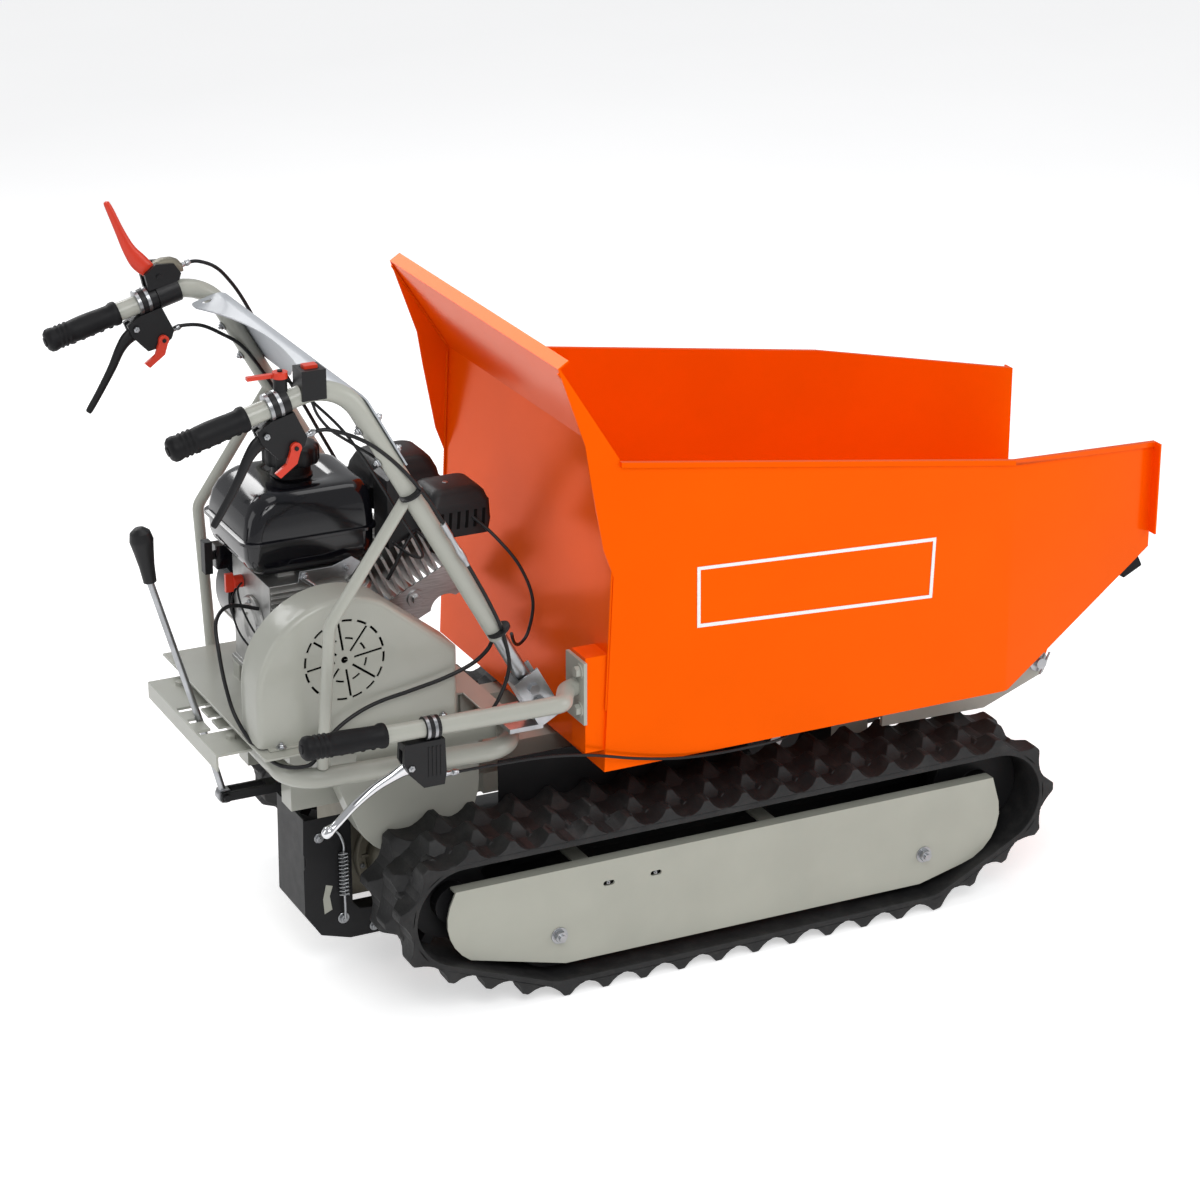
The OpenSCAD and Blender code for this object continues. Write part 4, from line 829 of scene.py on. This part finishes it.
def inset(pts, t):
    cx, cz = sum(p[0] for p in pts) / 4, sum(p[1] for p in pts) / 4
    return [(x + (t if x < cx else -t), z + (t if z < cz else -t)) for x, z in pts]


def side_frame(name, y0, y1):
    """A thin white rectangle of line, from y0 to y1."""
    outline = FRAME_PTS + inset(FRAME_PTS, FRAME_LINE)
    verts = [(x, y0, z) for x, z in outline] + [(x, y1, z) for x, z in outline]
    faces = []
    for k in range(4):
        j = (k + 1) % 4
        faces += [(k, j, 4 + j, 4 + k), (8 + k, 8 + j, 12 + j, 12 + k)]
        faces += [(k, j, 8 + j, 8 + k), (4 + k, 4 + j, 12 + j, 12 + k)]
    mesh(name, verts, faces, "white_paint", "tub", slot="tub_orange")


def weld(name, a, b, body="tub", r=2.2, step=5.0):
    """A bead from a to b, with a ripple to each step."""
    a, b = Vector(a), Vector(b)
    k = max(4, int((b - a).length / step) * 3)
    pts = [tuple(a.lerp(b, i / k)) + (r * (0.82 + 0.28 * abs(sin(pi * i / 3))),) for i in range(k + 1)]
    sweep(name, pts, "tub_orange", body, n=1, sides=8)


for s, tag in SIDES:
    side_frame("side_frame_" + tag, 344.3 * s, 344.9 * s)
    weld("weld_shield_" + tag, (-106, 341 * s, 1096), (-3, 341 * s, 937))
    weld("weld_corner_" + tag, (-3, 341 * s, 925), (-22, 341 * s, 500))


# ---- stage, lights and camera: metres ----
def area(name, at, target, size, power):
    light = bpy.data.lights.new(name, "AREA")
    light.shape = "RECTANGLE"
    light.size, light.size_y = size
    light.energy = power
    lamp = bpy.data.objects.new(name, light)
    bpy.context.scene.collection.objects.link(lamp)
    lamp.location = at
    lamp.rotation_euler = (Vector(target) - Vector(at)).to_track_quat("-Z", "Y").to_euler()


def seen_by_camera(tree, otherwise, seen):
    """A value that is one number for the camera and another for the light that falls on the object."""
    ray = tree.nodes.new("ShaderNodeLightPath")
    value = tree.nodes.new("ShaderNodeMapRange")
    value.inputs["To Min"].default_value = otherwise
    value.inputs["To Max"].default_value = seen
    tree.links.new(ray.outputs["Is Camera Ray"], value.inputs["Value"])
    return value.outputs["Result"]


FLOOR_HALF = 60
floor_me = bpy.data.meshes.new("floor")
floor_me.from_pydata([(x * FLOOR_HALF, y * FLOOR_HALF, 0) for x, y in ((-1, -1), (1, -1), (1, 1), (-1, 1))],
                     [], [(0, 1, 2, 3)])
floor_mat = material("floor", (0.86, 0.86, 0.86), 0.75, mottle=0.01, mottle_scale=1.5)
floor_me.materials.append(floor_mat)
floor_tree = floor_mat.node_tree
glow = floor_tree.nodes["Principled BSDF"]
glow.inputs["Emission Color"].default_value = (1, 1, 1, 1)
floor_tree.links.new(seen_by_camera(floor_tree, 0.24, 0.52), glow.inputs["Emission Strength"])
floor_ob = bpy.data.objects.new("floor", floor_me)
bpy.context.scene.collection.objects.link(floor_ob)

area("key", (-1.2, -3.6, 3.6), (0.2, 0, 0.5), (2.6, 2.0), 90)
area("fill", (3.6, -2.6, 2.2), (0.4, 0, 0.5), (2.4, 2.4), 44)
area("rim", (-1.0, 3.4, 3.0), (0.1, 0, 0.7), (3.0, 1.2), 60)
area("top", (0.2, 0.0, 4.4), (0.2, 0, 0), (3.4, 2.4), 42)
area("rear", (-4.0, 0.2, 1.8), (-0.3, 0, 0.6), (1.6, 2.4), 16)

world = bpy.data.worlds.new("studio")
bpy.context.scene.world = world
world.use_nodes = True
sky = world.node_tree.nodes["Background"]
sky.inputs["Color"].default_value = (0.94, 0.95, 0.97, 1)
world.node_tree.links.new(seen_by_camera(world.node_tree, 0.42, 1.0), sky.inputs["Strength"])

cam = bpy.data.cameras.new("camera")
cam.sensor_width = 36
cam.lens = 102.2
cam_ob = bpy.data.objects.new("camera", cam)
bpy.context.scene.collection.objects.link(cam_ob)
az, el = radians(-25.91), radians(21.70)
back = Vector((sin(az) * cos(el), -cos(az) * cos(el), sin(el)))
cam_ob.location = Vector((-2.2873, -4.9823, 2.7517)) + DATUM * MM
cam_ob.rotation_euler = (-back).to_track_quat("-Z", "Y").to_euler()
bpy.context.scene.camera = cam_ob
bpy.context.scene.view_settings.view_transform = "Standard"
bpy.context.scene.view_settings.look = "None"
